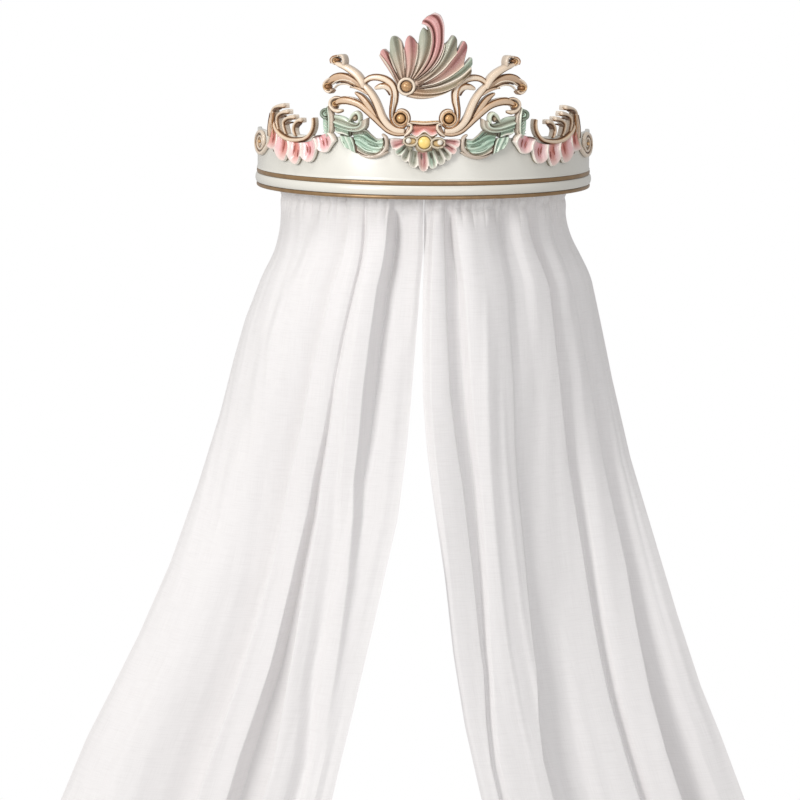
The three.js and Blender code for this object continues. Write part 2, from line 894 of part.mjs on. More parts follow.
// Leaves on both sides of the centre
const bigLeafPixels = [[340.5, 137.6], [348, 140.2], [357, 142.4], [366, 144.6], [375, 147], [385.6, 148.4]];
const upperLeafWidths = [1.5, 5, 9, 11, 12, 11.5, 10, 6.5];
const lowerLeafWidths = [1.5, 8.5, 9, 8, 10.5, 11, 9.5, 6.5];
const curledLeafPixels = [
  [337, 121.6], [341.6, 125.6], [349, 126.8], [357.4, 125.4], [363.6, 121.4], [362, 115.4],
  [355.6, 114], [351.6, 118.2],
];
const curledInnerWidths = [5, 8, 7.6, 5.6, 4.4, 3.4, 3, 2.2];
const curledOuterWidths = [7, 8.4, 6.6, 6, 7.4, 5, 3, 2.2];
const uprightLeafPixels = [[330, 138], [328, 131], [327, 122], [327.2, 113], [328, 106.4]];

sides.forEach((side, i) => {
  lay(`${sideNames[i]}_acanthus_leaf`, leafGreen, [strandBody(strand({
    path: sidePoints(side, bigLeafPixels, 0),
    widths: side < 0 ? upperLeafWidths : lowerLeafWidths,
    lowerWidths: side < 0 ? lowerLeafWidths : upperLeafWidths,
    back: faceBack,
    front: fullRelief,
    section: leafShares,
    count: 11,
    loop: false,
  }))]);
  lay(`${sideNames[i]}_curled_leaf`, leafGreen, [strandBody(strand({
    path: sidePoints(side, curledLeafPixels, 0),
    widths: side < 0 ? curledOuterWidths : curledInnerWidths,
    lowerWidths: side < 0 ? curledInnerWidths : curledOuterWidths,
    back: faceBack,
    front: fullRelief,
    section: leafShares,
    count: 11,
    loop: false,
  }))]);
  lay(`${sideNames[i]}_upright_leaf`, leafGreen, [strandBody(strand({
    path: sidePoints(side, uprightLeafPixels, 0),
    widths: [2.4, 5.8, 6.8, 5.2, 1.4],
    back: faceBack,
    front: highRelief,
    section: leafShares,
    count: 9,
    loop: false,
  }))]);
});

// Crest: pearls, inner scrolls, the shell and the main scrolls
const crestPearlPixel = [406.4, 86.5];
const crestPearlPixels = 5.6;
const innerPearlPixel = [400.5, 118.3];
const innerPearlPixels = 5.1;
lay('crest_pearl', agedGold, [
  ball(onCrown(crestPearlPixel, pearlRise), crestPearlPixels * pixelSize, pearlRise),
]);
sides.forEach((side, i) => {
  const at = sidePoints(side, [innerPearlPixel], 0)[0];
  lay(`${sideNames[i]}_scroll_pearl`, agedGold, [ball(at, innerPearlPixels * pixelSize, scrollPearlRise)]);
});

const innerScrollPixels = [
  [362.4, 88], [364.8, 81.6], [370.4, 78.6], [378, 78.2], [386, 80.6], [391.2, 86],
  [392.8, 92.6], [392.2, 100], [391, 109], [392, 118.3], [394.7, 124], [400.5, 126.4],
  [406.2, 124], [408.5, 118.3], [406.2, 112.6], [400.5, 110.2], [396, 111.6],
];
const innerHookPixels = [[392.4, 90.6], [387, 87], [380.6, 85.2], [375.4, 86.4], [373.4, 89.6]];

sides.forEach((side, i) => {
  lay(`${sideNames[i]}_inner_scroll`, cream, [
    strandBody(strand({
      path: sidePoints(side, innerScrollPixels, 0),
      widths: [2.6, 3.6, 4.2, 4.4, 4.4, 4.4, 4.4, 4.2, 3.6, 3, 2.6, 2.4, 2.4, 2.4, 2.3, 2.2, 1.6],
      back: crestBack,
      front: midRelief,
      section: ridgedShares,
      count: 23,
      loop: false,
    })),
    strandBody(strand({
      path: sidePoints(side, innerHookPixels, 0),
      widths: [2.2, 2.4, 2.2, 2, 1.2],
      back: crestBack,
      front: lowRelief,
      section: roundShares,
      count: 7,
      loop: false,
    })),
  ]);
});

const shellTips = [
  [380.5, 50.8], [391.6, 37.4], [408.6, 36.8], [423, 29.4], [440, 17], [455.6, 35.6], [466.4, 42.8], [474, 57.6],
];
const shellRoots = [
  [398.4, 85.4], [399.8, 82], [402.6, 79.4], [406.2, 78.4], [409.6, 79.2], [412.4, 81.4], [414.2, 84.4], [414.8, 88], [413.6, 91.6],
];
const shellSweeps = [[-1, 0], [-1, 0], [0, 0], [1.5, 0], [3, 0.5], [5, 1.5], [6, 3.5], [6, 5.5], [5, 7.5]];
const shellBasePixels = [
  [397, 89.6], [401.6, 94], [410, 96.4], [420, 97], [431.2, 95.2], [443, 91.4], [454.2, 84.4],
  [464, 74.8], [471.6, 64],
];
const tallTipPixels = [[441, 37], [441.6, 27], [438.4, 20.4], [432.4, 18.8], [427, 22.8]];
lay('crest_shell', shellRose, [
  strandBody(fan({
    roots: crownPoints(shellRoots, 0),
    tips: crownPoints(shellTips, 0),
    first: onCrown([384.5, 66], 0),
    last: onCrown([474, 68], 0),
    sweeps: shellSweeps.map(([x, y]) => [x * pixelSize, -y * pixelSize]),
    notchShare: 0.2,
    back: crestBack,
    front: highRelief,
    curl: shellCurl,
    concave: true,
    rows: 3,
    steps: 4,
  })),
  strandBody(strand({
    path: crownPoints(shellBasePixels, 0),
    widths: [2.6, 4, 5, 5.4, 5, 4.6, 4.2, 3.4, 2],
    back: crestBack,
    front: midRelief,
    section: roundShares,
    count: 11,
    loop: false,
  })),
  strandBody(strand({
    path: crownPoints(tallTipPixels, 0),
    widths: [4, 5.4, 6, 5.2, 3],
    back: crestBack,
    front: highRelief,
    section: roundShares,
    count: 8,
    loop: false,
  })),
  strandBody(strand({
    path: crownPoints(loopPixels(crestPearlPixel, 7.7, 7.7), 0),
    widths: [1.5, 1.5],
    back: crestBack,
    front: midRelief,
    section: roundShares,
    count: 10,
    loop: true,
  })),
]);

const lowerScrollPixels = [
  [404.5, 134.6], [395.8, 134.4], [387.3, 131], [380.6, 125], [374.4, 118], [366.8, 110.2], [358.6, 103.8],
  [350.2, 100.2], [342, 99.8], [335.6, 102.4], [334.2, 106.6], [338.6, 108.6],
];
const upperScrollPixels = [
  [403.6, 130.6], [392.4, 129.6], [385, 123.4], [380, 115.6], [376, 107], [372.4, 99.4], [367.8, 92.4],
  [362.4, 86], [358, 81],
];
const middleLeafPixels = [[377, 119.4], [371.6, 110.6], [365, 101.6], [359, 95.8], [354.4, 92.6]];
const shortLeafPixels = [[370, 98.6], [364.4, 92.4], [358, 88.8], [350, 87.4]];
const featherPixels = [
  [363, 90], [360.6, 82], [355.6, 75.6], [349.4, 71], [342, 67.6], [335.6, 65.4], [332.6, 61.4],
  [334.6, 58], [340.4, 59.4],
];
const rufflePixels = [
  [360.6, 87.6], [353.6, 81.6], [346, 78.6], [338, 78.4], [331.4, 81.4], [328.4, 86.4], [331, 90.6],
  [337, 91.6],
];

function mainStrand(side, pixels, widths, front, count) {
  return strandBody(strand({
    path: sidePoints(side, pixels, 0),
    widths,
    back: crestBack,
    front,
    section: ridgedShares,
    count,
    loop: false,
  }));
}

sides.forEach((side, i) => {
  lay(`${sideNames[i]}_main_scroll`, agedGold, [
    mainStrand(side, lowerScrollPixels, [3, 4, 4.4, 4.4, 4.4, 4.4, 4.4, 4.2, 4, 4, 4, 3.4], midRelief, 14),
    mainStrand(side, upperScrollPixels, [3.2, 4, 4.4, 4.8, 4.8, 4.8, 4.6, 4.2, 3], highRelief, 10),
    mainStrand(side, middleLeafPixels, [2.4, 4.6, 5.4, 4, 1.4], lowRelief, 6),
    mainStrand(side, shortLeafPixels, [3, 4, 3, 1.4], lowRelief, 5),
    mainStrand(side, featherPixels, [3, 4.4, 4.8, 4.6, 4, 3.4, 2.8, 3, 3], highRelief, 12),
    mainStrand(side, rufflePixels, [3, 4.2, 5, 6, 6.4, 5.6, 4.8, 3.6], midRelief, 13),
  ]);
});

// Sides: end volutes on a stem, C shaped scrolls with four feather tips, and their ruffles
const volutePixel = [259.6, 141];
const volutePlaceShares = [
  [-0.05, 0.1], [-0.3, -0.15], [0, -0.42], [0.38, -0.15], [0.42, 0.35], [0.05, 0.72], [-0.45, 0.6], [-0.78, 0.1],
  [-0.62, -0.55], [-0.1, -0.92], [0.5, -0.85],
];
const voluteStemPixels = [[265.8, 147.6], [268.4, 141], [269.6, 132], [269.8, 122], [270.2, 113]];
const voluteWidths = [1.4, 1.7, 2, 2.2, 2.4, 2.5, 2.6, 2.8, 3, 3.2, 3.3, 3.3, 3, 2.6, 2.2, 1.8];
const voluteHalfWidth = 30;
const voluteHalfHeight = 23;
const sideScrollPixels = [
  [274.2, 109.6], [273.8, 120], [276, 129], [283, 135.6], [292, 139.2], [301, 139.6], [309, 136.6], [314.4, 130.4],
  [316.2, 123.6], [315.4, 117.6],
];
const sideScrollWidths = [2.6, 3.6, 4.6, 5.2, 4.8, 4.2, 4, 3.6, 3.4, 2.6];
const featherTipPixels = [
  [[273.8, 117], [274.6, 110.4], [279, 107], [284, 106.2], [288, 106]],
  [[277.6, 126.6], [279, 118.6], [282.4, 114.6], [287, 112.6], [292, 112.2]],
  [[285, 131.6], [284.8, 124.4], [288, 119.6], [293, 117.4], [298.8, 117]],
  [[295, 134], [294.6, 127], [297.6, 122.4], [301.6, 120.4], [306, 120.4]],
];
const featherTipWidths = [1.8, 2.4, 2.7, 2.8, 2.8];
const ruffleTips = [[274.6, 151], [284.8, 161], [297.6, 164.9], [312, 162.6], [326, 154.2], [336, 145]];
const ruffleRoots = [
  [273, 129], [277.6, 137], [284.6, 141.4], [294.6, 145.2], [305.6, 145], [314.6, 140.6],
  [321.6, 134.6],
];

sides.forEach((side, i) => {
  const [u, v] = sidePoints(side, [volutePixel], lowRelief)[0];
  const spiral = volutePlaceShares.map(([x, y]) => [u - side * voluteHalfWidth * x, v + voluteHalfHeight * y]);
  lay(`${sideNames[i]}_end_volute`, cream, [strandBody(strand({
    path: [...spiral, ...sidePoints(side, voluteStemPixels, lowRelief)],
    widths: voluteWidths,
    back: faceBack,
    front: midRelief,
    section: roundShares,
    count: 26,
    loop: false,
  }))]);
  lay(`${sideNames[i]}_side_scroll`, cream, [
    strandBody(strand({
      path: sidePoints(side, sideScrollPixels, 0),
      widths: sideScrollWidths,
      back: crestBack,
      front: highRelief,
      section: ridgedShares,
      count: 15,
      loop: false,
    })),
    ...featherTipPixels.map((pixels) => strandBody(strand({
      path: sidePoints(side, pixels, 0),
      widths: featherTipWidths,
      back: crestBack,
      front: midRelief,
      section: roundShares,
      count: 6,
      loop: false,
    }))),
  ]);
  lay(`${sideNames[i]}_side_ruffle`, rose, [strandBody(fan({
    roots: sidePoints(side, ruffleRoots, 0),
    tips: sidePoints(side, ruffleTips, 0),
    first: sidePoints(side, [[271.6, 138.6]], 0)[0],
    last: sidePoints(side, [[334, 137.6]], 0)[0],
    notchShare: 0.2,
    back: faceBack,
    front: highRelief,
    curl: petalCurl,
    concave: true,
    rows: 2,
    steps: 4,
  }))]);
});

// Drapes: each hangs from its hooks on the track's arc, opens out and sweeps to its side
const leftOuterPixels = [
  [278, 196], [277, 223], [271, 251], [259, 283], [245.5, 318], [234, 358], [220, 413], [198, 484],
  [170, 563], [139, 634], [111, 690], [87, 737], [62, 797],
];
const leftInnerPixels = [
  [423, 196], [421, 259], [417.5, 310], [410, 378], [402, 449], [392, 520], [378, 579], [364, 646],
  [348, 721], [330.5, 797],
];
const rightOuterPixels = [
  [568, 196], [574, 219], [584, 251], [594, 299], [610, 378], [629, 457], [653, 536], [677, 615],
  [700.5, 686], [720, 734], [744, 799],
];
const rightInnerPixels = [
  [426.4, 196], [426.6, 259], [427, 318], [428.6, 397], [433.6, 488], [444.5, 575], [453.4, 654],
  [465, 726], [481, 797],
];

// Main folds: place across the panel near the top and at the foot of the view, and height
const leftFoldShares = [
  [0, 0, 0.2], [0.05, 0.04, 0.9], [0.13, 0.11, -0.5], [0.22, 0.19, 1], [0.335, 0.318, -1.3], [0.42, 0.43, 0.9],
  [0.5, 0.505, -0.1], [0.62, 0.64, 0.8], [0.72, 0.76, -0.6], [0.82, 0.87, 0.7], [0.92, 0.95, -0.3], [1, 1, 0.4],
];
const rightFoldShares = [
  [0, 0, -0.5], [0.06, 0.06, 0.5], [0.13, 0.12, 0], [0.2, 0.2, 1], [0.35, 0.37, -1.2], [0.5, 0.54, 0.8],
  [0.62, 0.64, 0.2], [0.78, 0.79, -1], [0.92, 0.93, 0.8], [1, 1, 0.2],
];

function edgeTable(side, pixels, depthTop, depthLow, hemReach, hemDepth) {
  const table = pixels.map((pixel) => {
    const share = (pixel[1] - foldTopPixel) / (foldLowPixel - foldTopPixel);
    const depth = mix(depthTop, depthLow, smooth(share));
    const [x, z] = onPlane(pixel, depth);
    return [z, x, -depth];
  });
  table.push([headingTopZ - drapeDrop, side * hemReach, -hemDepth]);
  return table;
}

function edgeAt(table, z) {
  let i = 0;
  while (i < table.length - 2 && table[i + 1][0] > z) i += 1;
  const t = (table[i][0] - z) / (table[i][0] - table[i + 1][0]);
  return mixAll(table[i].slice(1), table[i + 1].slice(1), Math.max(0, Math.min(1, t)));
}

function foldHeight(shares, across, down) {
  const at = shares.map(([top, low, height]) => [mix(top, low, down), height]);
  let i = 0;
  while (i < at.length - 2 && at[i + 1][0] < across) i += 1;
  const t = (across - at[i][0]) / (at[i + 1][0] - at[i][0]);
  return mix(at[i][1], at[i + 1][1], (1 - Math.cos(Math.PI * Math.max(0, Math.min(1, t)))) / 2);
}

function drape(side, inner, outer, folds) {
  const hooks = [...gliderAngles, endHookAngle];
  const columns = [[drapeInnerAngle, -0.35]];
  for (let i = 0; i < hooks.length - 1; i += 1) {
    const steps = gathersPerHook * columnsPerGather;
    for (let j = 0; j < steps; j += 1) {
      columns.push([mix(hooks[i], hooks[i + 1], j / steps), gathersPerHook * i + j / columnsPerGather]);
    }
  }
  columns.push([endHookAngle, gathersPerHook * (hooks.length - 1)]);
  columns.push([drapeOuterAngle, gathersPerHook * (hooks.length - 1) + 0.4]);

  const base = (angle, drop) => {
    const z = headingTopZ - drop;
    const across = (angle - drapeInnerAngle) / (drapeOuterAngle - drapeInnerAngle);
    const flat = smooth((drop - flareStart) / flareLength);
    const reach = mix(Math.sin(across * quarterTurn), across, flat);
    const depth = mix(1 - Math.cos(across * quarterTurn), across, flat);
    const [a, b] = [edgeAt(inner, z), edgeAt(outer, z)];
    const open = [mix(a[0], b[0], reach), mix(a[1], b[1], depth)];
    const held = polar(trackRadius, side * angle, z);
    const [x, y] = mixAll(held.slice(0, 2), open, smooth((drop - headingHeight) / headingEase));
    return [x, y, reach];
  };

  const grid = [];
  for (const share of drapeRowShares) {
    const row = [];
    for (const [angle, gathers] of columns) {
      const lift = hemLift * (angle / quarterTurn) ** 2;
      const drop = share * (drapeDrop - lift);
      const [x, y, across] = base(angle, drop);
      const step = 0.5 * degree;
      const [x0, y0] = base(angle - step, drop);
      const [x1, y1] = base(angle + step, drop);
      const length = Math.hypot(x1 - x0, y1 - y0);
      const normal = [(side * (y1 - y0)) / length, (-side * (x1 - x0)) / length];
      const down = Math.min(1, drop / (foldLowPixel - foldTopPixel) / pixelSize);
      const gather = -gatherDepth * Math.cos(2 * Math.PI * gathers)
        * (1 - smooth((drop - headingHeight) / gatherLength));
      const depth = mix(foldDepth, hemFoldDepth, share) * smooth((drop - foldStart) / foldLength);
      const lean = gather + depth * foldHeight(folds, across, down);
      const place = (offset) => [
        x + normal[0] * (lean + offset),
        y + normal[1] * (lean + offset),
        headingTopZ - drop,
      ];
      row.push([place(-drapeThickness / 2), place(drapeThickness / 2)]);
    }
    grid.push(row);
  }

  const points = [];
  const number = (row, column, face) => 2 * (row * columns.length + column) + face;
  for (const row of grid) for (const pair of row) points.push(...pair);
  const faces = [];
  const quad = (a, b, c, d) => faces.push([a, b, c], [a, c, d]);
  const lastRow = grid.length - 1;
  const lastColumn = columns.length - 1;
  for (let r = 0; r < lastRow; r += 1) {
    for (let c = 0; c < lastColumn; c += 1) {
      quad(number(r, c, 1), number(r + 1, c, 1), number(r + 1, c + 1, 1), number(r, c + 1, 1));
      quad(number(r, c, 0), number(r, c + 1, 0), number(r + 1, c + 1, 0), number(r + 1, c, 0));
    }
    quad(number(r, 0, 0), number(r + 1, 0, 0), number(r + 1, 0, 1), number(r, 0, 1));
    quad(number(r, lastColumn, 1), number(r + 1, lastColumn, 1), number(r + 1, lastColumn, 0), number(r, lastColumn, 0));
  }
  for (let c = 0; c < lastColumn; c += 1) {
    quad(number(0, c, 0), number(0, c, 1), number(0, c + 1, 1), number(0, c + 1, 0));
    quad(number(lastRow, c, 1), number(lastRow, c, 0), number(lastRow, c + 1, 0), number(lastRow, c + 1, 1));
  }
  return closed(points, faces);
}

const leftInner = edgeTable(-1, leftInnerPixels, trackRadius, innerDepthLow, hemInnerReach, hemInnerDepth);
const leftOuter = edgeTable(-1, leftOuterPixels, outerDepthTop, outerDepthLow, hemOuterReach, hemOuterDepth);
const rightInner = edgeTable(1, rightInnerPixels, trackRadius, innerDepthLow, hemInnerReach, hemInnerDepth);
const rightOuter = edgeTable(1, rightOuterPixels, outerDepthTop, outerDepthLow, hemOuterReach, hemOuterDepth);
add('left_drape', muslin, drape(-1, leftInner, leftOuter, leftFoldShares));
add('right_drape', muslin, drape(1, rightInner, rightOuter, rightFoldShares));

export default crown;
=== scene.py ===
"""Half round bed crown with carved rococo ornament and two long muslin drapes."""

import math

import bmesh
import bpy
import numpy as np
from mathutils import Matrix, Vector

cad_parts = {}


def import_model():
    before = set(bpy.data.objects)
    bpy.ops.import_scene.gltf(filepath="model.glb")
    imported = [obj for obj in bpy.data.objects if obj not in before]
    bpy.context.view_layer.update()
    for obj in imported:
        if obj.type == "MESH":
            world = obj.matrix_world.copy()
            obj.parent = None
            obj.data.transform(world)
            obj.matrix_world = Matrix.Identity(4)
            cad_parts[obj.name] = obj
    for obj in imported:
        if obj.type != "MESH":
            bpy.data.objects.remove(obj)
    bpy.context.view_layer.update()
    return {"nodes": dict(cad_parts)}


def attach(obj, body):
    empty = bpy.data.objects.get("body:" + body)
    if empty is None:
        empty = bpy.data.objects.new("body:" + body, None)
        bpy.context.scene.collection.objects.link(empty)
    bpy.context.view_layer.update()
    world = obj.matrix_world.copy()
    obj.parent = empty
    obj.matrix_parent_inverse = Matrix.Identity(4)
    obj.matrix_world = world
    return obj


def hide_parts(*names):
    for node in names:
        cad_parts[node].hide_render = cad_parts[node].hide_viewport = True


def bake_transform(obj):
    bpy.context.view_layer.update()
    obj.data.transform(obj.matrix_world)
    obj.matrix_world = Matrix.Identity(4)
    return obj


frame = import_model()
nodes = frame["nodes"]

# Sizes shared with the solids, in millimetres
MM = 0.001
CROWN = 306.0
BAND_IN = 298.0
RIM_Z = -64.0
MOULDING_Z = -57.0
UPPER_BEAD_Z = -39.5
BAND_Z = -31.5
BAND_TOP = 42.0
TRACK = 262.0
FLOOR_Z = -2266.0

# The photograph's view
VIEW_X, VIEW_DISTANCE, VIEW_Z = -40.0, 5914.0, 436.0
VIEW_TILT, VIEW_ROLL = math.radians(8.68), math.radians(0.4)
VIEW_FOCAL, VIEW_CENTRE = 3200.0, 400.0
LENS, SENSOR, CLIP_END = 144, 36, 60
PIXEL = (VIEW_DISTANCE - CROWN) / VIEW_FOCAL


# Colours
def colour(r, g, b):
    """A colour written as it looks, from 0 to 255, as linear values."""
    c = np.array([r, g, b]) / 255.0
    return np.where(c <= 0.04045, c / 12.92, ((c + 0.055) / 1.055) ** 2.4)


CREAM = colour(228, 212, 192)
CREAM_SHADE = colour(206, 190, 172)
PEACH = colour(210, 184, 158)
TAN = colour(184, 152, 124)
GOLD = colour(158, 106, 54)
GOLD_LIGHT = colour(212, 170, 118)
UMBER = colour(92, 58, 34)
ROSE = colour(190, 132, 129)
ROSE_LIGHT = colour(212, 156, 154)
ROSE_DEEP = colour(146, 80, 82)
ROSE_PALE = colour(232, 206, 204)
CORAL = colour(220, 146, 136)
CORAL_DEEP = colour(196, 112, 98)
BLUSH = colour(232, 182, 184)
BLUSH_DEEP = colour(214, 138, 142)
SAGE = colour(154, 160, 143)
SAGE_DEEP = colour(104, 108, 90)
MINT = colour(165, 192, 172)
MINT_PALE = colour(206, 219, 202)
MINT_DEEP = colour(120, 156, 134)
OLIVE = colour(160, 150, 122)
TAUPE = colour(204, 188, 172)
MAUVE = colour(190, 152, 138)
YELLOW = colour(240, 208, 120)
IVORY = colour(238, 230, 220)
WHITE = colour(214, 212, 204)


# Small tools
def smooth(x):
    t = np.clip(x, 0, 1)
    return t * t * (3 - 2 * t)


def mix(a, b, t):
    return a + (b - a) * t


def tint_mix(a, b, t):
    """Mixes colours, where t is an array."""
    t = np.asarray(t)[..., None]
    return a * (1 - t) + b * t


def sight(pixels):
    p = np.asarray(pixels, float).reshape(-1, 2) - VIEW_CENTRE
    x = p[:, 0] * math.cos(VIEW_ROLL) + p[:, 1] * math.sin(VIEW_ROLL)
    y = p[:, 1] * math.cos(VIEW_ROLL) - p[:, 0] * math.sin(VIEW_ROLL)
    right, down = x / VIEW_FOCAL, y / VIEW_FOCAL
    forward = math.cos(VIEW_TILT) - down * math.sin(VIEW_TILT)
    up = -math.sin(VIEW_TILT) - down * math.cos(VIEW_TILT)
    return right, forward, up


def on_crown(pixels, outward):
    """Arc length along the band and height, on a face this far outside the band."""
    dx, dy, dz = sight(pixels)
    a = dx * dx + dy * dy
    b = VIEW_X * dx - VIEW_DISTANCE * dy
    c = VIEW_X**2 + VIEW_DISTANCE**2 - (CROWN + outward) ** 2
    t = (-b - np.sqrt(np.maximum(0, b * b - a * c))) / a
    u = CROWN * np.arctan2(VIEW_X + t * dx, VIEW_DISTANCE - t * dy)
    return np.stack([u, VIEW_Z + t * dz], 1)


def on_plane(pixels, depth):
    dx, dy, dz = sight(pixels)
    t = (VIEW_DISTANCE - depth) / dy
    return VIEW_X + t * dx, VIEW_Z + t * dz


def smooth_line(points, steps=14, loop=False):
    """A smooth curve through points, as many points close together."""
    p = np.asarray(points, float)
    if loop:
        p = np.vstack([p[-1:], p, p[:2]])
    else:
        p = np.vstack([2 * p[:1] - p[1:2], p, 2 * p[-1:] - p[-2:-1]])
    out = []
    for i in range(1, len(p) - 2):
        p0, p1, p2, p3 = p[i - 1 : i + 3]
        t0 = 0.0
        t1 = t0 + max(1e-6, np.linalg.norm(p1 - p0)) ** 0.5
        t2 = t1 + max(1e-6, np.linalg.norm(p2 - p1)) ** 0.5
        t3 = t2 + max(1e-6, np.linalg.norm(p3 - p2)) ** 0.5
        for t in np.linspace(t1, t2, steps, endpoint=False):
            a1 = mix(p0, p1, (t - t0) / (t1 - t0))
            a2 = mix(p1, p2, (t - t1) / (t2 - t1))
            a3 = mix(p2, p3, (t - t2) / (t3 - t2))
            b1 = mix(a1, a2, (t - t0) / (t2 - t0))
            b2 = mix(a2, a3, (t - t1) / (t3 - t1))
            out.append(mix(b1, b2, (t - t1) / (t2 - t1)))
    if not loop:
        out.append(p[-2])
    return np.array(out)


def spread(values, t):
    """Values evenly placed along a line, read at t from 0 to 1."""
    return np.interp(t, np.linspace(0, 1, len(values)), values)


# Edges of the carvings stay sharp from this angle
CARVED_SHARP = 50


class Carving:
    """Collects closed shells in (u, v, w) with a colour and a share of gilding at each point."""

    def __init__(self):
        self.points, self.faces, self.tints, self.gilds = [], [], [], []
        self.count = 0

    def shell(self, rings, tints, gilds, loop=False):
        """rings: n x m x 3 points, each row a closed outline."""
        n, m, _ = rings.shape
        index = np.arange(n * m).reshape(n, m) + self.count
        spans = n if loop else n - 1
        for i in range(spans):
            a, b = index[i], index[(i + 1) % n]
            self.faces += np.stack([a, np.roll(a, -1), np.roll(b, -1), b], 1).tolist()
        if not loop:
            self.faces += [index[0][::-1].tolist(), index[-1].tolist()]
        self.points.append(rings.reshape(-1, 3))
        self.tints.append(np.broadcast_to(tints, (n, m, 3)).reshape(-1, 3))
        self.gilds.append(np.broadcast_to(gilds, (n, m)).reshape(-1))
        self.count += n * m

    def mirrored(self):
        other = Carving()
        other.points = [p * np.array([-1, 1, 1]) for p in self.points]
        other.faces = [f[::-1] for f in self.faces]
        other.tints, other.gilds, other.count = self.tints, self.gilds, self.count
        return other

    def build(self, name, replaced, material, slot):
        flat = np.vstack(self.points)
        angle = flat[:, 0] / CROWN
        radius = CROWN + flat[:, 2]
        world = np.stack([radius * np.sin(angle), -radius * np.cos(angle), flat[:, 1]], 1) * MM
        mesh = bpy.data.meshes.new(name)
        mesh.from_pydata(world.tolist(), [], self.faces)
        tint = mesh.attributes.new("tint", "FLOAT_COLOR", "POINT")
        rgba = np.ones((len(world), 4), np.float32)
        rgba[:, :3] = np.vstack(self.tints)
        tint.data.foreach_set("color", rgba.ravel())
        gild = mesh.attributes.new("gild", "FLOAT", "POINT")
        gild.data.foreach_set("value", np.concatenate(self.gilds).astype(np.float32))
        piece = put(name, mesh, material)
        outward(piece)
        soften(mesh, CARVED_SHARP)
        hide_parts(*replaced)
        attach(piece, "crown")
        return piece


def put(name, mesh, material):
    piece = bpy.data.objects.new(name, mesh)
    bpy.context.scene.collection.objects.link(piece)
    mesh.materials.append(material)
    return piece


def outward(piece):
    """Turns each loose shell so that its faces look out."""
    bm = bmesh.new()
    bm.from_mesh(piece.data)
    bmesh.ops.remove_doubles(bm, verts=bm.verts, dist=1e-6)
    bmesh.ops.recalc_face_normals(bm, faces=bm.faces)
    bm.to_mesh(piece.data)
    bm.free()


def soften(mesh, degrees):
    mesh.polygons.foreach_set("use_smooth", [True] * len(mesh.polygons))
    mesh.set_sharp_from_angle(angle=math.radians(degrees))


# Carved looks. Each takes the share across (-1 to 1), the distance from the edge in mm, the
# share along and the half width, and gives a height share, a colour and a share of gilding.
# The + side is on the left of the line's direction.
def scroll_look(body=CREAM, shade=TAN, plus="line", minus="plain", rim=2.3, width=1.15, hollow=0.0):
    """A broad rounded band with a gilt groove inside a thin pale rim, on one or both sides, turned
    towards the shade colour on its - side: painted shade.
    """

    def look(a, e, t, half):
        offset = a * half
        inner = np.clip(half / 6.0, 0.35, 1.0)
        height = 0.58 + 0.40 * np.sqrt(np.clip(1 - a * a, 0, 1)) - hollow * (1 - a * a)
        gild = np.zeros_like(a)
        # Painted shade: the body turns towards the shade colour on the - side.
        tint = tint_mix(body, shade, smooth(0.5 - 0.55 * a) * 0.55)
        for side, kind in ((1, plus), (-1, minus)):
            if kind == "plain":
                # Painted shade: a plain side darkens towards its edge, where the round falls away.
                low = smooth(1 - e / 2.4) * smooth(0.5 + 2 * a * side)
                tint = tint_mix(tint, CREAM_SHADE * 0.9, 0.35 * low)
                continue
            d = side * offset - (half - rim * inner)
            groove = np.exp(-((d / (width * inner)) ** 2))
            ridge = np.exp(-(((d - 1.9 * inner) / (1.1 * inner)) ** 2))
            beyond = smooth(d / inner + 0.5)
            height = mix(height, 0.74, 0.6 * beyond) - 0.34 * groove + 0.18 * ridge
            tint = tint_mix(tint, CREAM if kind == "line" else IVORY, 0.85 * beyond)
            wide = np.exp(-((d / (2.3 * width * inner)) ** 2))
            tint = tint_mix(tint, GOLD_LIGHT, 0.55 * wide * (1 - beyond))
            cover = smooth(1.9 * groove - 0.22)
            tint = tint_mix(tint, GOLD, cover)
            tint = tint_mix(tint, UMBER, 0.85 * smooth(2.8 * groove - 1.5))
            gild = np.maximum(gild, 0.8 * cover)
        height = height * (0.45 + 0.55 * np.sqrt(np.clip(e / 1.8, 0, 1)))
        return height, tint, gild

    return look


def plain_look(tint_colour, gilded=0.0, low=0.35):
    def look(a, e, t, half):
        height = low + (1 - low) * np.sqrt(np.clip(1 - a * a, 0, 1))
        tint = np.ones(a.shape + (3,)) * tint_colour
        return height, tint, np.full_like(a, gilded)

    return look


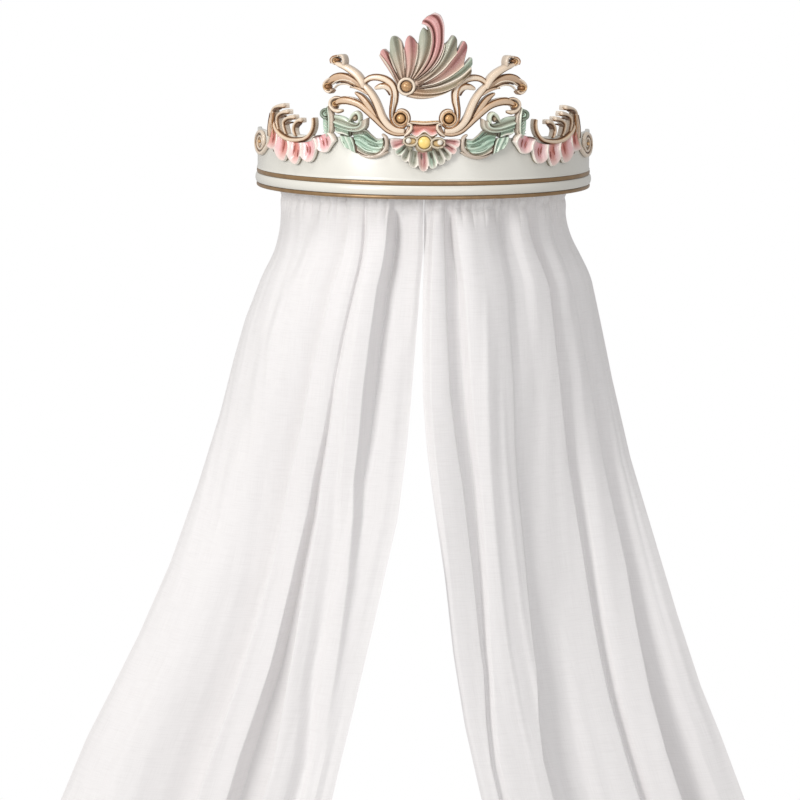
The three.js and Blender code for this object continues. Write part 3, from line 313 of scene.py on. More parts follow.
def carve(
    carving, line, half, look, front, back=-7.0, other=None, ends=(0.0, 0.0), across=15,
    spacing=1.5, loop=False, wall=None, full=0.45,
):
    """Sweeps a carved strand along a line of pixels. half and other are its half widths in
    pixels on the + and - side. ends are how much of each end is rounded, in pixels."""
    base = max(0.0, back)
    path = smooth_line(on_crown(line, 0.7 * front), loop=loop)
    if loop:
        path = np.vstack([path, path[:1]])
    steps = np.linalg.norm(np.diff(path, axis=0), axis=1)
    length = np.concatenate([[0], np.cumsum(steps)])
    total = length[-1]
    count = max(6, int(total / spacing))
    s = np.linspace(0, total, count, endpoint=not loop)
    rounding = [r * PIXEL for r in ends]
    turn = np.linspace(0, np.pi / 2, 7)[:-1]
    extra = []
    if rounding[0]:
        extra.append(rounding[0] * (1 - np.cos(turn)))
        s = s[s > rounding[0]]
    if rounding[1]:
        extra.append(total - rounding[1] * (1 - np.cos(turn)))
        s = s[s < total - rounding[1]]
    s = np.sort(np.concatenate([s] + extra))
    t = s / total
    at = np.stack([np.interp(s, length, path[:, k]) for k in (0, 1)], 1)
    nudge = min(1.0, total / 50)
    if loop:
        s0, s1 = (s - nudge) % total, (s + nudge) % total
    else:
        s0, s1 = np.clip(s - nudge, 0, total), np.clip(s + nudge, 0, total)
    ahead = np.stack([np.interp(s1, length, path[:, k]) for k in (0, 1)], 1)
    behind = np.stack([np.interp(s0, length, path[:, k]) for k in (0, 1)], 1)
    way = ahead - behind
    way /= np.linalg.norm(way, axis=1)[:, None]
    normal = np.stack([-way[:, 1], way[:, 0]], 1)
    plus = spread(half, t) * PIXEL
    minus = spread(other if other is not None else half, t) * PIXEL
    end = np.ones_like(s)
    if rounding[0]:
        end = np.minimum(end, np.sqrt(np.clip(1 - (1 - s / rounding[0]).clip(0) ** 2, 0.0004, 1)))
    if rounding[1]:
        left = (total - s) / rounding[1]
        end = np.minimum(end, np.sqrt(np.clip(1 - (1 - left).clip(0) ** 2, 0.0004, 1)))
    plus, minus = plus * end, minus * end
    a = np.sin(np.pi / 2 * np.linspace(-1, 1, across))
    halves = np.where(a[None, :] > 0, plus[:, None], minus[:, None])
    share = np.broadcast_to(a, halves.shape)
    edge = (1 - np.abs(share)) * halves
    if rounding[0]:
        edge = np.minimum(edge, s[:, None])
    if rounding[1]:
        edge = np.minimum(edge, (total - s)[:, None])
    time = np.broadcast_to(t[:, None], halves.shape)
    height, tint, gild = look(share, edge, time, halves)
    fullness = full + (1 - full) * np.minimum(1, (plus + minus) / (2 * PIXEL * max(max(half), 0.1)))
    rise = (front - base) * fullness[:, None] * height
    flat_points = at[:, None, :] + normal[:, None, :] * (share * halves)[..., None]
    top = np.concatenate([flat_points, (base + rise)[..., None]], 2)
    # Painted shade: without a wall colour, the side walls take the top's edge colours darkened.
    wall_tint = tint[:, [-1, 0]] * 0.86 if wall is None else np.broadcast_to(wall, (len(s), 2, 3))
    under = np.empty((len(s), 4, 3))
    for k, (side, width, sink) in enumerate(
        ((1, plus, 0.97), (1, plus, 0.9), (-1, minus, 0.9), (-1, minus, 0.97))
    ):
        under[:, k, :2] = at + normal * (side * sink * width)[:, None]
        edge_w = top[:, -1, 2] if side > 0 else top[:, 0, 2]
        under[:, k, 2] = mix(edge_w, back, 0.35) if k in (0, 3) else back
    under_tint = np.stack([wall_tint[:, 0], wall_tint[:, 0], wall_tint[:, 1], wall_tint[:, 1]], 1)
    rings = np.concatenate([top, under], 1)
    tints = np.concatenate([tint, under_tint], 1)
    edge_gild = np.stack([gild[:, -1], gild[:, -1] * 0, gild[:, 0] * 0, gild[:, 0]], 1)
    carving.shell(rings, tints, np.concatenate([gild, edge_gild], 1), loop)


def bead(carving, line, radii, top, tint=GOLD_LIGHT, gilded=1.0):
    """A thin raised line on top of a carving. radii are in pixels, top is its height in mm."""
    carve(
        carving, line, radii, plain_look(tint, gilded), top, back=top - 2.2 * max(radii) * PIXEL,
        ends=(1.0, 1.0), across=7, full=0.7,
    )


def round_line(centre, rx, ry, count=12, start=0.0, turn=2 * math.pi):
    angles = start + turn * np.arange(count) / count
    return [(centre[0] + rx * math.cos(x), centre[1] - ry * math.sin(x)) for x in angles]


def knob(carving, pixel, radius, back, height, tint, gilded=0.0, lathe=28, rings=9):
    """A round knob, its outline a little more than half a ball."""
    (u, v) = on_crown([pixel], 0.6 * height)[0]
    turns = np.linspace(-0.30 * np.pi, 0.5 * np.pi, rings)
    angles = 2 * np.pi * np.arange(lathe) / lathe
    rows = []
    size = radius * PIXEL
    for turn in turns:
        r = size * max(math.cos(turn), 0.02)
        w = back + (height - back) * (math.sin(turn) + 0.81) / 1.81
        row = [u + r * np.cos(angles), v + r * np.sin(angles), np.full(lathe, w)]
        rows.append(np.stack(row, 1))
    carving.shell(np.array(rows), tint, gilded)


def across_rails(values, steps):
    """Smooth values between neighbouring rails: n x m x k becomes more rows."""
    v = np.concatenate([2 * values[:1] - values[1:2], values, 2 * values[-1:] - values[-2:-1]])
    out = []
    for i in range(1, len(v) - 2):
        p0, p1, p2, p3 = v[i - 1 : i + 3]
        for t in np.arange(steps) / steps:
            m1, m2 = (p2 - p0) / 2, (p3 - p1) / 2
            t2, t3 = t * t, t * t * t
            near = (2 * t3 - 3 * t2 + 1) * p1 + (t3 - 2 * t2 + t) * m1
            out.append(near + (3 * t2 - 2 * t3) * p2 + (t3 - t2) * m2)
    out.append(v[-2])
    return np.array(out)


# How far a carved sheet rounds over at the start of its lines, in mm
ROUND_START = 0.8


def rails(
    carving, lines, front, back=-7.0, steps=6, spacing=1.2, end=1.6, side=1.2, lip=None, curl=0.0,
    wall=None,
):
    """A carved sheet across a row of lines. Each is (pixels, height share or shares, colour or
    colours). end and side are how far its edges round over, in mm. lip is a colour and a
    width in mm for its far end, and curl lifts that end."""
    base = max(0.0, back)
    paths = []
    for points, _, _ in lines:
        path = smooth_line(on_crown(points, 0.7 * front))
        steps_along = np.linalg.norm(np.diff(path, axis=0), axis=1)
        paths.append((path, np.concatenate([[0], np.cumsum(steps_along)])))
    longest = max(length[-1] for _, length in paths)
    count = max(8, int(longest / spacing))
    t = np.linspace(0, 1, count)
    t = mix(t, smooth(t), 0.35)
    places, heights, tints = [], [], []
    for (path, length), (_, height, tint) in zip(paths, lines):
        s = t * length[-1]
        places.append(np.stack([np.interp(s, length, path[:, k]) for k in (0, 1)], 1))
        heights.append(spread(height if isinstance(height, (list, tuple)) else [height, height], t))
        shades = tint if isinstance(tint, (list, tuple)) else [tint, tint]
        tints.append(np.stack([spread([c[k] for c in shades], t) for k in range(3)], 1))
    flat = across_rails(np.array(places), steps)
    n = len(lines)
    x = np.linspace(0, n - 1, len(flat))
    i = np.minimum(x.astype(int), n - 2)
    f = x - i
    bend = (1 - np.cos(np.pi * f)) / 2
    heights, tints = np.array(heights), np.array(tints)
    h = heights[i] * (1 - bend)[:, None] + heights[i + 1] * bend[:, None]
    c = tints[i] * (1 - bend)[:, None, None] + tints[i + 1] * bend[:, None, None]
    # How far each point is from the ends and the sides, in mm
    run = np.linalg.norm(np.diff(flat, axis=1), axis=2)
    run = np.concatenate([np.zeros((len(flat), 1)), np.cumsum(run, axis=1)], 1)
    to_end = run[:, -1:] - run
    wide = np.linalg.norm(np.diff(flat, axis=0), axis=2)
    wide = np.concatenate([np.zeros((1, count)), np.cumsum(wide, axis=0)], 0)
    to_side = np.minimum(wide, wide[-1:] - wide)
    rounding = np.ones_like(h)
    for distance, reach in ((run, ROUND_START), (to_end, end), (to_side, side)):
        if reach:
            rounding = rounding * (0.4 + 0.6 * np.sqrt(np.clip(distance / reach, 0, 1)))
    if lip:
        cover = smooth(1.4 - to_end / lip[1])
        c = c * (1 - cover)[..., None] + lip[0] * cover[..., None]
        h = h + 0.12 * np.exp(-(((to_end - 0.6 * lip[1]) / (0.5 * lip[1])) ** 2))
    w = base + (front - base) * h * rounding + curl * t[None, :] ** 2
    top = np.concatenate([flat, w[..., None]], 2)
    under = top.copy()
    under[..., 2] = back
    sheet(carving, top, under, c, wall)


def sheet(carving, top, under, tints, wall=None):
    """Closes a sheet: its top, its flat back and the walls between them."""
    n, m, _ = top.shape
    first = carving.count
    index = np.arange(n * m).reshape(n, m) + first
    lower = index + n * m
    for grid in (index, lower[::-1]):
        faces = [grid[:-1, :-1], grid[1:, :-1], grid[1:, 1:], grid[:-1, 1:]]
        carving.faces += np.stack(faces, -1).reshape(-1, 4).tolist()
    rim = np.concatenate([index[0, :-1], index[:-1, -1], index[-1, :0:-1], index[:0:-1, 0]])
    foot = rim + n * m
    shoulder = np.arange(len(rim)) + first + 2 * n * m
    for high, low in ((rim, shoulder), (shoulder, foot)):
        carving.faces += np.stack([high, np.roll(high, -1), np.roll(low, -1), low], 1).tolist()
    # Painted shade: without a wall colour, the back and the walls take the top's colours darkened.
    dark = tints * 0.8 if wall is None else np.broadcast_to(wall, tints.shape)
    edge = mix(top.reshape(-1, 3), under.reshape(-1, 3), 0.12)[rim - first]
    carving.points += [top.reshape(-1, 3), under.reshape(-1, 3), edge]
    carving.tints += [tints.reshape(-1, 3), dark.reshape(-1, 3), dark.reshape(-1, 3)[rim - first]]
    carving.gilds += [np.zeros(2 * n * m + len(rim))]
    carving.count += 2 * n * m + len(rim)


# Points of a line between two ridges
BETWEEN_POINTS = 10


def between(left, right, share, tip):
    """A line between two others that leaves them towards its own tip."""
    a, b = smooth_line(left, 8), smooth_line(right, 8)
    t = np.linspace(0, 1, BETWEEN_POINTS)
    grid_a = np.stack([np.interp(t, np.linspace(0, 1, len(a)), a[:, k]) for k in (0, 1)], 1)
    grid_b = np.stack([np.interp(t, np.linspace(0, 1, len(b)), b[:, k]) for k in (0, 1)], 1)
    line = mix(grid_a, grid_b, share)
    line = line + (np.array(tip) - line[-1]) * (t**2.6)[:, None]
    return [tuple(p) for p in line]


# Materials
def node_material(name):
    material = bpy.data.materials.new(name)
    material.use_nodes = True
    tree = material.node_tree
    tree.nodes.clear()
    out = tree.nodes.new("ShaderNodeOutputMaterial")
    shader = tree.nodes.new("ShaderNodeBsdfPrincipled")
    tree.links.new(shader.outputs[0], out.inputs[0])
    return material, tree, shader


def fill(tree, node, **values):
    """Sets or links a node's inputs. In their names here, _ stands for a space."""
    for key, value in values.items():
        socket = node.inputs[key.replace("_", " ")]
        if isinstance(value, bpy.types.NodeSocket):
            tree.links.new(value, socket)
        else:
            socket.default_value = value


def add_node(tree, kind, **values):
    made = tree.nodes.new(kind)
    for key, value in values.items():
        if hasattr(made, key):
            setattr(made, key, value)
        else:
            fill(tree, made, **{key: value})
    return made


def object_point(tree):
    return add_node(tree, "ShaderNodeTexCoord").outputs["Object"]


def noise(tree, scale, detail=3.0, rough=0.55):
    made = add_node(
        tree, "ShaderNodeTexNoise", Scale=scale, Detail=detail, Roughness=rough,
        Vector=object_point(tree),
    )
    return made.outputs["Fac"]


def ramp(tree, value, low, high, to_low=0.0, to_high=1.0):
    made = add_node(tree, "ShaderNodeMapRange")
    made.clamp = True
    fill(tree, made, From_Min=low, From_Max=high, To_Min=to_low, To_Max=to_high, Value=value)
    return made.outputs["Result"]


def blend_colour(tree, share, first, second):
    made = add_node(tree, "ShaderNodeMix")
    made.data_type = "RGBA"
    for socket, value in (
        (made.inputs[0], share), (made.inputs[6], first), (made.inputs[7], second)
    ):
        if isinstance(value, bpy.types.NodeSocket):
            tree.links.new(value, socket)
        elif np.isscalar(value):
            socket.default_value = float(value)
        else:
            socket.default_value = (*[float(x) for x in value], 1.0)
    return made.outputs[2]


def calculate(tree, kind, first, second):
    made = add_node(tree, "ShaderNodeMath")
    made.operation = kind
    for socket, value in zip(made.inputs, (first, second)):
        if isinstance(value, bpy.types.NodeSocket):
            tree.links.new(value, socket)
        else:
            socket.default_value = value
    return made.outputs[0]


def bump(tree, shader, height, distance, strength=1.0):
    made = add_node(tree, "ShaderNodeBump", Strength=strength, Distance=distance, Height=height)
    tree.links.new(made.outputs[0], shader.inputs["Normal"])


def carved_material(name):
    """Painted and gilded resin: colour from the carving, brown wash in its hollows, rubbed gold."""
    material, tree, shader = node_material(name)
    tint = add_node(tree, "ShaderNodeAttribute", attribute_name="tint").outputs["Color"]
    gild = add_node(tree, "ShaderNodeAttribute", attribute_name="gild").outputs["Fac"]
    mottled = blend_colour(
        tree, ramp(tree, noise(tree, 90, 4), 0.35, 0.75, 0, 0.14), tint, CREAM_SHADE
    )
    rubbed = calculate(tree, "MULTIPLY", gild, ramp(tree, noise(tree, 260, 4), 0.46, 0.62, 0, 0.6))
    aged = blend_colour(tree, rubbed, mottled, UMBER)
    hollow = add_node(tree, "ShaderNodeAmbientOcclusion", samples=6, Distance=0.007)
    wash = ramp(tree, hollow.outputs["AO"], 0.2, 0.8, 0.62, 0.0)
    washed = blend_colour(tree, wash, aged, UMBER)
    fill(tree, shader, Base_Color=washed, Metallic=calculate(tree, "MULTIPLY", gild, 0.45))
    grain = ramp(tree, noise(tree, 160, 3), 0.3, 0.7, 0.24, 0.36)
    rough = calculate(tree, "ADD", grain, calculate(tree, "MULTIPLY", gild, 0.06))
    fill(tree, shader, Roughness=rough, Coat_Weight=0.35, Coat_Roughness=0.18)
    bump(tree, shader, noise(tree, 420, 3), 0.0004, 0.5)
    return material


def gloss_material(name, base, rough):
    """Sprayed gloss lacquer with faint clouds and orange peel."""
    material, tree, shader = node_material(name)
    cloud = ramp(tree, noise(tree, 9, 3), 0.3, 0.7, 0.0, 0.10)
    tone = blend_colour(tree, cloud, base, np.array(base) * 0.9)
    fill(
        tree, shader, Base_Color=tone, Roughness=ramp(tree, noise(tree, 40, 3), 0.3, 0.7, *rough),
        Coat_Weight=0.6, Coat_Roughness=0.26,
    )
    bump(tree, shader, noise(tree, 120, 2), 0.0002, 0.3)
    return material


def gold_material(name, bright, deep):
    """Antique gold, rubbed thinner here and there, browner in its hollows."""
    material, tree, shader = node_material(name)
    patches = ramp(tree, noise(tree, 46, 4, 0.6), 0.40, 0.78, 0.0, 0.45)
    tone = blend_colour(tree, patches, bright, deep)
    hollow = add_node(tree, "ShaderNodeAmbientOcclusion", samples=6, Distance=0.006)
    washed = blend_colour(
        tree, ramp(tree, hollow.outputs["AO"], 0.2, 0.8, 0.8, 0.0), tone, UMBER * 0.8
    )
    fill(
        tree, shader, Base_Color=washed, Metallic=0.4,
        Roughness=ramp(tree, noise(tree, 130, 3), 0.3, 0.7, 0.28, 0.42),
    )
    bump(tree, shader, noise(tree, 300, 3), 0.0003, 0.4)
    return material


carved = carved_material("carved_lacquer")
white_gloss = gloss_material("white_lacquer", WHITE, (0.30, 0.38))
antique_gold = gold_material("antique_gold", mix(GOLD, GOLD_LIGHT, 0.8), GOLD)
rim_gold = gold_material("rim_gold", colour(150, 120, 84), colour(104, 80, 54))


# Rim: the band, the moulding and the two gilt beads, finely turned
# Steps around the half circle, and the angle from which an edge stays sharp
RING_STEPS, RING_SHARP = 180, 40


def ring_piece(name, outline, material, node):
    angles = np.linspace(-np.pi / 2, np.pi / 2, RING_STEPS + 1)
    outline = np.asarray(outline, float)
    rings = np.empty((len(angles), len(outline), 3))
    rings[..., 0] = np.sin(angles)[:, None] * outline[:, 0]
    rings[..., 1] = -np.cos(angles)[:, None] * outline[:, 0]
    rings[..., 2] = outline[:, 1]
    n, m, _ = rings.shape
    index = np.arange(n * m).reshape(n, m)
    faces = []
    for a, b in zip(index[:-1], index[1:]):
        faces += np.stack([a, np.roll(a, -1), np.roll(b, -1), b], 1).tolist()
    faces += [index[0][::-1].tolist(), index[-1].tolist()]
    mesh = bpy.data.meshes.new(name)
    mesh.from_pydata((rings.reshape(-1, 3) * MM).tolist(), [], faces)
    piece = put(name, mesh, material)
    outward(piece)
    soften(mesh, RING_SHARP)
    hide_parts(node)
    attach(piece, "crown")
    return piece


def bulged(low, high, bulge, steps=14):
    turn = np.linspace(0, np.pi, steps + 1)
    z = mix(low, high, (1 - np.cos(turn)) / 2)
    r = CROWN + bulge * np.sin(turn)
    return [(BAND_IN, high), (BAND_IN, low)] + list(zip(r, z))


# Distance between the turned rings, in mm
GAP = 0.3
ring_piece(
    "gilt_bead_low", bulged(RIM_Z, MOULDING_Z - GAP, 2.0), rim_gold,
    "lower_gold_bead",
)
ring_piece(
    "moulding_gloss", bulged(MOULDING_Z, UPPER_BEAD_Z - GAP, 4.0, 22), white_gloss,
    "rim_moulding",
)
ring_piece(
    "gilt_bead_up", bulged(UPPER_BEAD_Z, BAND_Z - GAP, 1.5), rim_gold,
    "upper_gold_bead",
)
band_outline = [
    (BAND_IN, BAND_Z), (CROWN + 1.0, BAND_Z), (CROWN + 1.4, BAND_Z + 0.6),
    (CROWN + 1.0, BAND_Z + 1.6),
    (CROWN + 0.5, BAND_Z + 2.8), (CROWN + 0.15, BAND_Z + 4.2), (CROWN, BAND_Z + 6.0),
    (CROWN, BAND_TOP - 2.2), (CROWN - 0.5, BAND_TOP - 0.9), (CROWN - 1.5, BAND_TOP - 0.2),
    (CROWN - 2.6, BAND_TOP),
    (BAND_IN + 1.4, BAND_TOP), (BAND_IN + 0.4, BAND_TOP - 0.5), (BAND_IN, BAND_TOP - 1.6),
]
ring_piece("band_gloss", band_outline, white_gloss, "fascia_band")


# Carved ornament, in pixels of the photograph
LOW, MID, HIGH, FULL, BOSS = 5.0, 8.0, 11.0, 15.0, 12.0
FACE, CREST = 0.45, -7.0


def both(name, make, slot, material=None):
    """Builds a left carving and its mirrored right one."""
    left = Carving()
    make(left)
    for side, carving in (("left", left), ("right", left.mirrored())):
        carving.build(f"{side}_{name}_carved", [f"{side}_{name}"], material or carved, slot)


def single(name, make, slot):
    carving = Carving()
    make(carving)
    carving.build(f"{name}_carved", [name], carved, slot)


def roll(c, line, half, top, tint, back=0.0, low=0.4, ends=(1.2, 1.2), **more):
    """A plain rounded strip."""
    carve(c, line, half, plain_look(tint, low=low), top, back, ends=ends, across=11, **more)


def end_volute(c):
    middle = np.array([259.6, 141.2])
    spiral = []
    for k in np.linspace(0.15, 2.35, 30):
        reach = 0.10 + 0.90 * (k / 2.35) ** 0.9
        angle = -2 * math.pi * k + 0.15
        spiral.append(
            tuple(middle + reach * np.array([-5.0 * math.cos(angle), -12.2 * math.sin(angle)]))
        )
    stem = [(265.6, 147.0), (268.4, 141), (269.8, 132), (270, 122), (270.6, 112.6)]
    widths = [1.2, 1.4, 1.6, 1.8, 2.0, 2.1, 2.2, 2.3, 2.3, 2.3, 2.2, 1.8]
    look = scroll_look(CREAM, CREAM_SHADE, "line", "plain", rim=1.3, width=0.8)
    carve(c, spiral + stem, widths, look, LOW + 2, FACE, ends=(1.2, 1.2), spacing=1.0)
    knob(c, (259.4, 141.4), 1.8, FACE, LOW + 3, GOLD_LIGHT, 0.6)


def side_scroll(c):
    feathers = [
        [
            (271.6, 128), (270.8, 119), (271.4, 111.6), (273.8, 108.0), (278.0, 106.4),
            (283.4, 105.8),
        ],
        [
            (277.6, 130), (276.2, 121), (276.8, 116.6), (279.4, 113.8), (283.0, 112.4),
            (287.4, 111.8),
        ],
        [
            (285.2, 134.4), (283.0, 126.6), (282.8, 122.0), (285.2, 119.2), (289.0, 117.6),
            (293.8, 117.2),
        ],
        [
            (294.6, 136.4), (292.8, 130), (293.4, 125.6), (295.4, 122.4), (298.2, 120.6),
            (301.4, 120.4),
        ],
    ]
    inside = scroll_look(CREAM, TAN, "plain", "line", rim=1.5, width=1.35)
    for k, line in enumerate(feathers):
        carve(
            c, line, [1.8, 2.4, 2.4, 2.4, 2.6, 2.9], inside, MID + 1.4 - 0.3 * k, CREST,
            ends=(1.0, 0.6),
            other=[1.2, 1.6, 1.8, 2.0, 2.3, 2.6], spacing=1.0, wall=mix(CREAM, IVORY, 0.6),
        )
    for line in (
        [(272.8, 111.4), (275.4, 109.4), (278.6, 108.6)],
        [(278.6, 118.0), (281.2, 116.8), (284.2, 116.2)],
        [(285.0, 124.6), (287.6, 122.9), (290.6, 122.4)],
        [(295.6, 127.6), (297.4, 125.0), (299.6, 123.0)],
    ):
        roll(c, line, [0.7, 1.1, 0.8], MID + 1.8, UMBER, 0.0, ends=(0.8, 0.8))
    ring = [
        (271.8, 110.6), (271.8, 119), (274.2, 127.6), (279.6, 134.8), (287.4, 139.2),
        (296.0, 140.0), (303.4, 138.6),
        (308.4, 134.4), (311.4, 128.2), (312.0, 122), (311.4, 117.6),
    ]
    carve(
        c, ring, [1.6, 2.4, 3.2, 3.8, 3.6, 3.0, 2.8, 2.5, 2.3, 2.1, 1.8],
        scroll_look(CREAM, TAN, "line", "line", rim=1.3, width=1.3),
        HIGH, CREST, other=[1.4, 1.8, 2.6, 3.2, 3.4, 3.2, 3.0, 2.5, 2.2, 2.1, 1.8], ends=(1.6, 1.4),
        spacing=1.0, across=23,
        wall=mix(CREAM, IVORY, 0.3),
    )
    roll(
        c, [(269.4, 137.0), (269.2, 129), (269.8, 121), (270.4, 113)], [1.4, 1.8, 1.5, 0.8],
        HIGH - 2, PEACH, CREST, low=0.3,
    )
    # Painted shade: a dark umber line along the stem's left edge.
    bead(
        c, [(268.4, 136), (268.6, 127.4), (269.6, 119), (270.6, 112.6)], [0.7, 1.0, 1.0, 0.6],
        HIGH - 2.2, UMBER, 0.3,
    )
    bead(
        c, [(274.4, 134.0), (273.2, 127.4), (273.4, 119), (273.6, 112.6)], [0.4, 0.7, 0.7, 0.4],
        HIGH - 0.6, GOLD, 0.6,
    )


def side_ruffle(c):
    pale, white = mix(BLUSH, ROSE_PALE, 0.55), IVORY
    rails_of = [
        ([(270.6, 128), (269.6, 136), (268.4, 142), (266.8, 146.6)], "side", CORAL),
        ([(273.0, 129), (272.2, 137), (271.2, 143), (269.6, 148.6)], "low", CORAL_DEEP),
        ([(275.4, 131), (275.4, 138), (274.4, 144), (272.2, 149.4)], "side", CORAL),
        ([(277.2, 133), (277.6, 139), (276.6, 145), (274.2, 149.6)], "crest", pale),
        ([(279.0, 135), (279.2, 142), (278.2, 149), (276.4, 155.6)], "side", BLUSH),
        ([(281.0, 136.4), (281.4, 144), (280.8, 152), (279.6, 160.0)], "low", CORAL_DEEP),
        ([(283.6, 137.8), (284.6, 144.4), (284.4, 152), (283.4, 161.0)], "low", CORAL),
        ([(285.8, 139.2), (287.0, 145), (286.8, 150.8), (285.8, 157.6)], "side", BLUSH),
        ([(288.0, 140.4), (289.4, 145.6), (288.8, 150.8), (287.0, 155.4)], "crest", white),
        ([(290.2, 141.2), (291.4, 147.2), (290.8, 153.2), (289.0, 159.4)], "side", pale),
        ([(292.6, 141.8), (293.6, 148.6), (293.2, 156), (292.0, 163.2)], "low", CORAL_DEEP),
        ([(295.2, 142.2), (296.2, 149), (296.2, 156.6), (295.6, 164.6)], "low", CORAL),
        ([(298.0, 142.4), (299.2, 148.4), (299.2, 154.6), (298.4, 161.0)], "side", BLUSH),
        ([(300.8, 142.4), (301.8, 147.6), (301.6, 152.4), (300.2, 156.6)], "crest", white),
        ([(303.0, 142.2), (304.0, 148), (303.8, 154), (302.6, 159.6)], "side", pale),
        ([(305.6, 141.8), (307.0, 148.2), (307.2, 155.2), (306.6, 162.2)], "low", BLUSH_DEEP),
        ([(308.6, 140.8), (310.4, 147.4), (310.9, 154.4), (310.8, 161.6)], "low", BLUSH),
        ([(311.4, 139.4), (313.6, 145.2), (314.2, 151.4), (314.0, 157.4)], "side", pale),
        ([(313.8, 137.6), (316.0, 141.8), (316.8, 145.8), (316.8, 149.6)], "crest", white),
        ([(316.0, 136.4), (318.4, 141.8), (319.4, 146.8), (319.2, 151.6)], "side", pale),
        ([(318.8, 135.2), (321.6, 141), (323.0, 147), (323.2, 152.8)], "low", BLUSH_DEEP),
        ([(322.0, 134.2), (325.2, 139.6), (326.8, 145.8), (327.2, 151.8)], "low", BLUSH),
        ([(325.0, 133.4), (328.4, 138), (330.0, 142.8), (330.2, 147.8)], "side", BLUSH),
        ([(328.0, 132.6), (331.0, 136), (332.6, 139.6), (333.2, 143.6)], "crest", white),
        ([(330.6, 132), (333.2, 134.8), (334.8, 137.6), (335.6, 140.6)], "side", TAUPE),
    ]
    heights = {
        "low": [0.30, 0.30, 0.42, 0.86], "side": [0.55, 0.60, 0.74, 0.92],
        "crest": [0.92, 1.0, 1.0, 0.94],
    }
    lines = []
    for line, kind, tone in rails_of:
        far = [tone, IVORY] if kind == "crest" else [
            mix(tone, ROSE_PALE, 0.25), mix(IVORY, BLUSH, 0.3)
        ]
        tones = [tone, tone] + far
        lines.append((line, heights[kind], tones))
    # Its walls are painted dark olive: painted shade on the sides of the lobes.
    rails(
        c, lines, HIGH + 1.2, FACE, steps=5, spacing=0.9, end=2.4, side=1.4, lip=(IVORY, 1.5),
        wall=OLIVE * 0.62,
    )
    # Darker creases in the hollows and in the small pierced dents: painted shade
    for line in (
        [(284.2, 141.4), (283.6, 146.6), (282.6, 152.6)],
        [(294.4, 145.0), (294.2, 150.0), (293.4, 155.6)],
        [(297.6, 149.6), (297.8, 153.6), (297.0, 157.4)],
        [(306.4, 144.6), (307.4, 149.0), (307.8, 153.4)],
        [(309.6, 146.0), (310.2, 150.4), (309.8, 155.0)],
        [(322.2, 139.6), (323.6, 143.6), (324.0, 147.4)],
        [(325.4, 138.0), (327.0, 142.0), (327.2, 146.6)],
        [(273.4, 133.6), (273.2, 138.6), (272.4, 143.0)],
        [(276.6, 134.6), (276.8, 137.0), (276.2, 139.4)],
    ):
        roll(
            c, line, [0.35, 0.75, 0.4], MID - 0.4, mix(ROSE_DEEP, CORAL_DEEP, 0.5), FACE,
            ends=(0.7, 0.7),
        )
    roll(
        c, [(273.4, 151.6), (274.6, 149.8), (276.4, 150.4)], [0.8, 1.3, 0.9], MID + 1.0, UMBER, FACE
    )
    # Pale brush lines along the crests
    for line in (
        [(277.6, 135.4), (277.4, 140.6), (276.4, 145.2)],
        [(288.8, 143.0), (289.4, 147.6), (288.4, 152.0)],
        [(301.4, 144.6), (301.9, 149.4), (301.0, 153.8)],
        [(315.6, 140.2), (316.9, 144.4), (317.0, 148.0)],
        [(329.6, 134.8), (332.0, 138.0), (333.0, 141.2)],
    ):
        roll(c, line, [0.5, 1.0, 0.7], HIGH + 1.8, IVORY, 8.0, ends=(0.9, 0.9), full=0.9)
    roll(
        c, [(312.0, 138.6), (314.6, 137.2), (317.0, 136.0), (320.0, 135.4)], [0.5, 0.8, 0.8, 0.5],
        HIGH + 1.2, UMBER, FACE,
    )


def upright_leaf(c):
    grey = [CREAM_SHADE, TAUPE, TAUPE]
    rails(
        c,
        [
            (
                [(326.4, 137.8), (323.4, 131.4), (321.8, 121), (322.8, 113), (326.2, 106.6)], 0.42,
                MINT_DEEP,
            ),
            (
                [(327.0, 137.2), (324.6, 131), (323.6, 121), (324.6, 113), (326.8, 106.4)], 0.74,
                MINT,
            ),
            (
                [(327.6, 136.8), (326.6, 130.6), (326.0, 121), (326.2, 113), (327.2, 106.2)], 0.60,
                MINT,
            ),
            (
                [(328.0, 136.6), (328.0, 130), (327.8, 121), (327.4, 113), (327.4, 106.0)], 0.46,
                MINT_DEEP,
            ),
            (
                [(328.4, 136.2), (329.2, 129.6), (329.2, 121), (328.6, 113), (327.8, 105.8)], 1.0,
                MINT_PALE,
            ),
            (
                [(329.0, 136.2), (330.4, 129.4), (330.6, 121), (330.0, 113), (328.2, 106)], 0.66,
                grey,
            ),
            (
                [(329.6, 136.4), (332.0, 129.4), (332.4, 121), (331.4, 113), (328.4, 106)], 0.84,
                grey,
            ),
            (
                [(330.4, 136.8), (333.2, 129.2), (333.8, 121), (332.6, 113), (328.8, 106)], 0.40,
                grey,
            ),
        ],
        HIGH, FACE, spacing=1.0, end=1.4,
    )
    for k in range(7):
        y = 111.8 + 3.4 * k
        x = 327.6 - 0.2 * abs(k - 3)
        roll(
            c, [(x, y + 2.6), (x - 2.2, y + 0.4), (x - 4.2, y + 0.2)], [0.5, 0.8, 0.4], HIGH - 1.6,
            MINT_PALE, 3.0, ends=(0.6, 0.8),
        )
    for line, widths, tint in (
        (
            [
                (327.4, 118.4), (324.0, 117.4), (321.8, 114.6), (322.0, 111.4), (324.4, 109.4),
                (327.0, 109.8),
            ],
            [1.4, 2.0, 2.2, 2.0, 1.6, 0.9], mix(MINT_DEEP, SAGE_DEEP, 0.6) * 0.85,
        ),
        (
            [(327.2, 115.6), (325.0, 114.8), (324.4, 112.8), (325.8, 111.6)], [0.8, 1.0, 0.9, 0.5],
            MINT,
        ),
    ):
        carve(
            c, line, widths, plain_look(tint, low=0.5), HIGH + 2.0, 1.0, ends=(1.0, 1.0), across=13,
            spacing=0.8,
        )


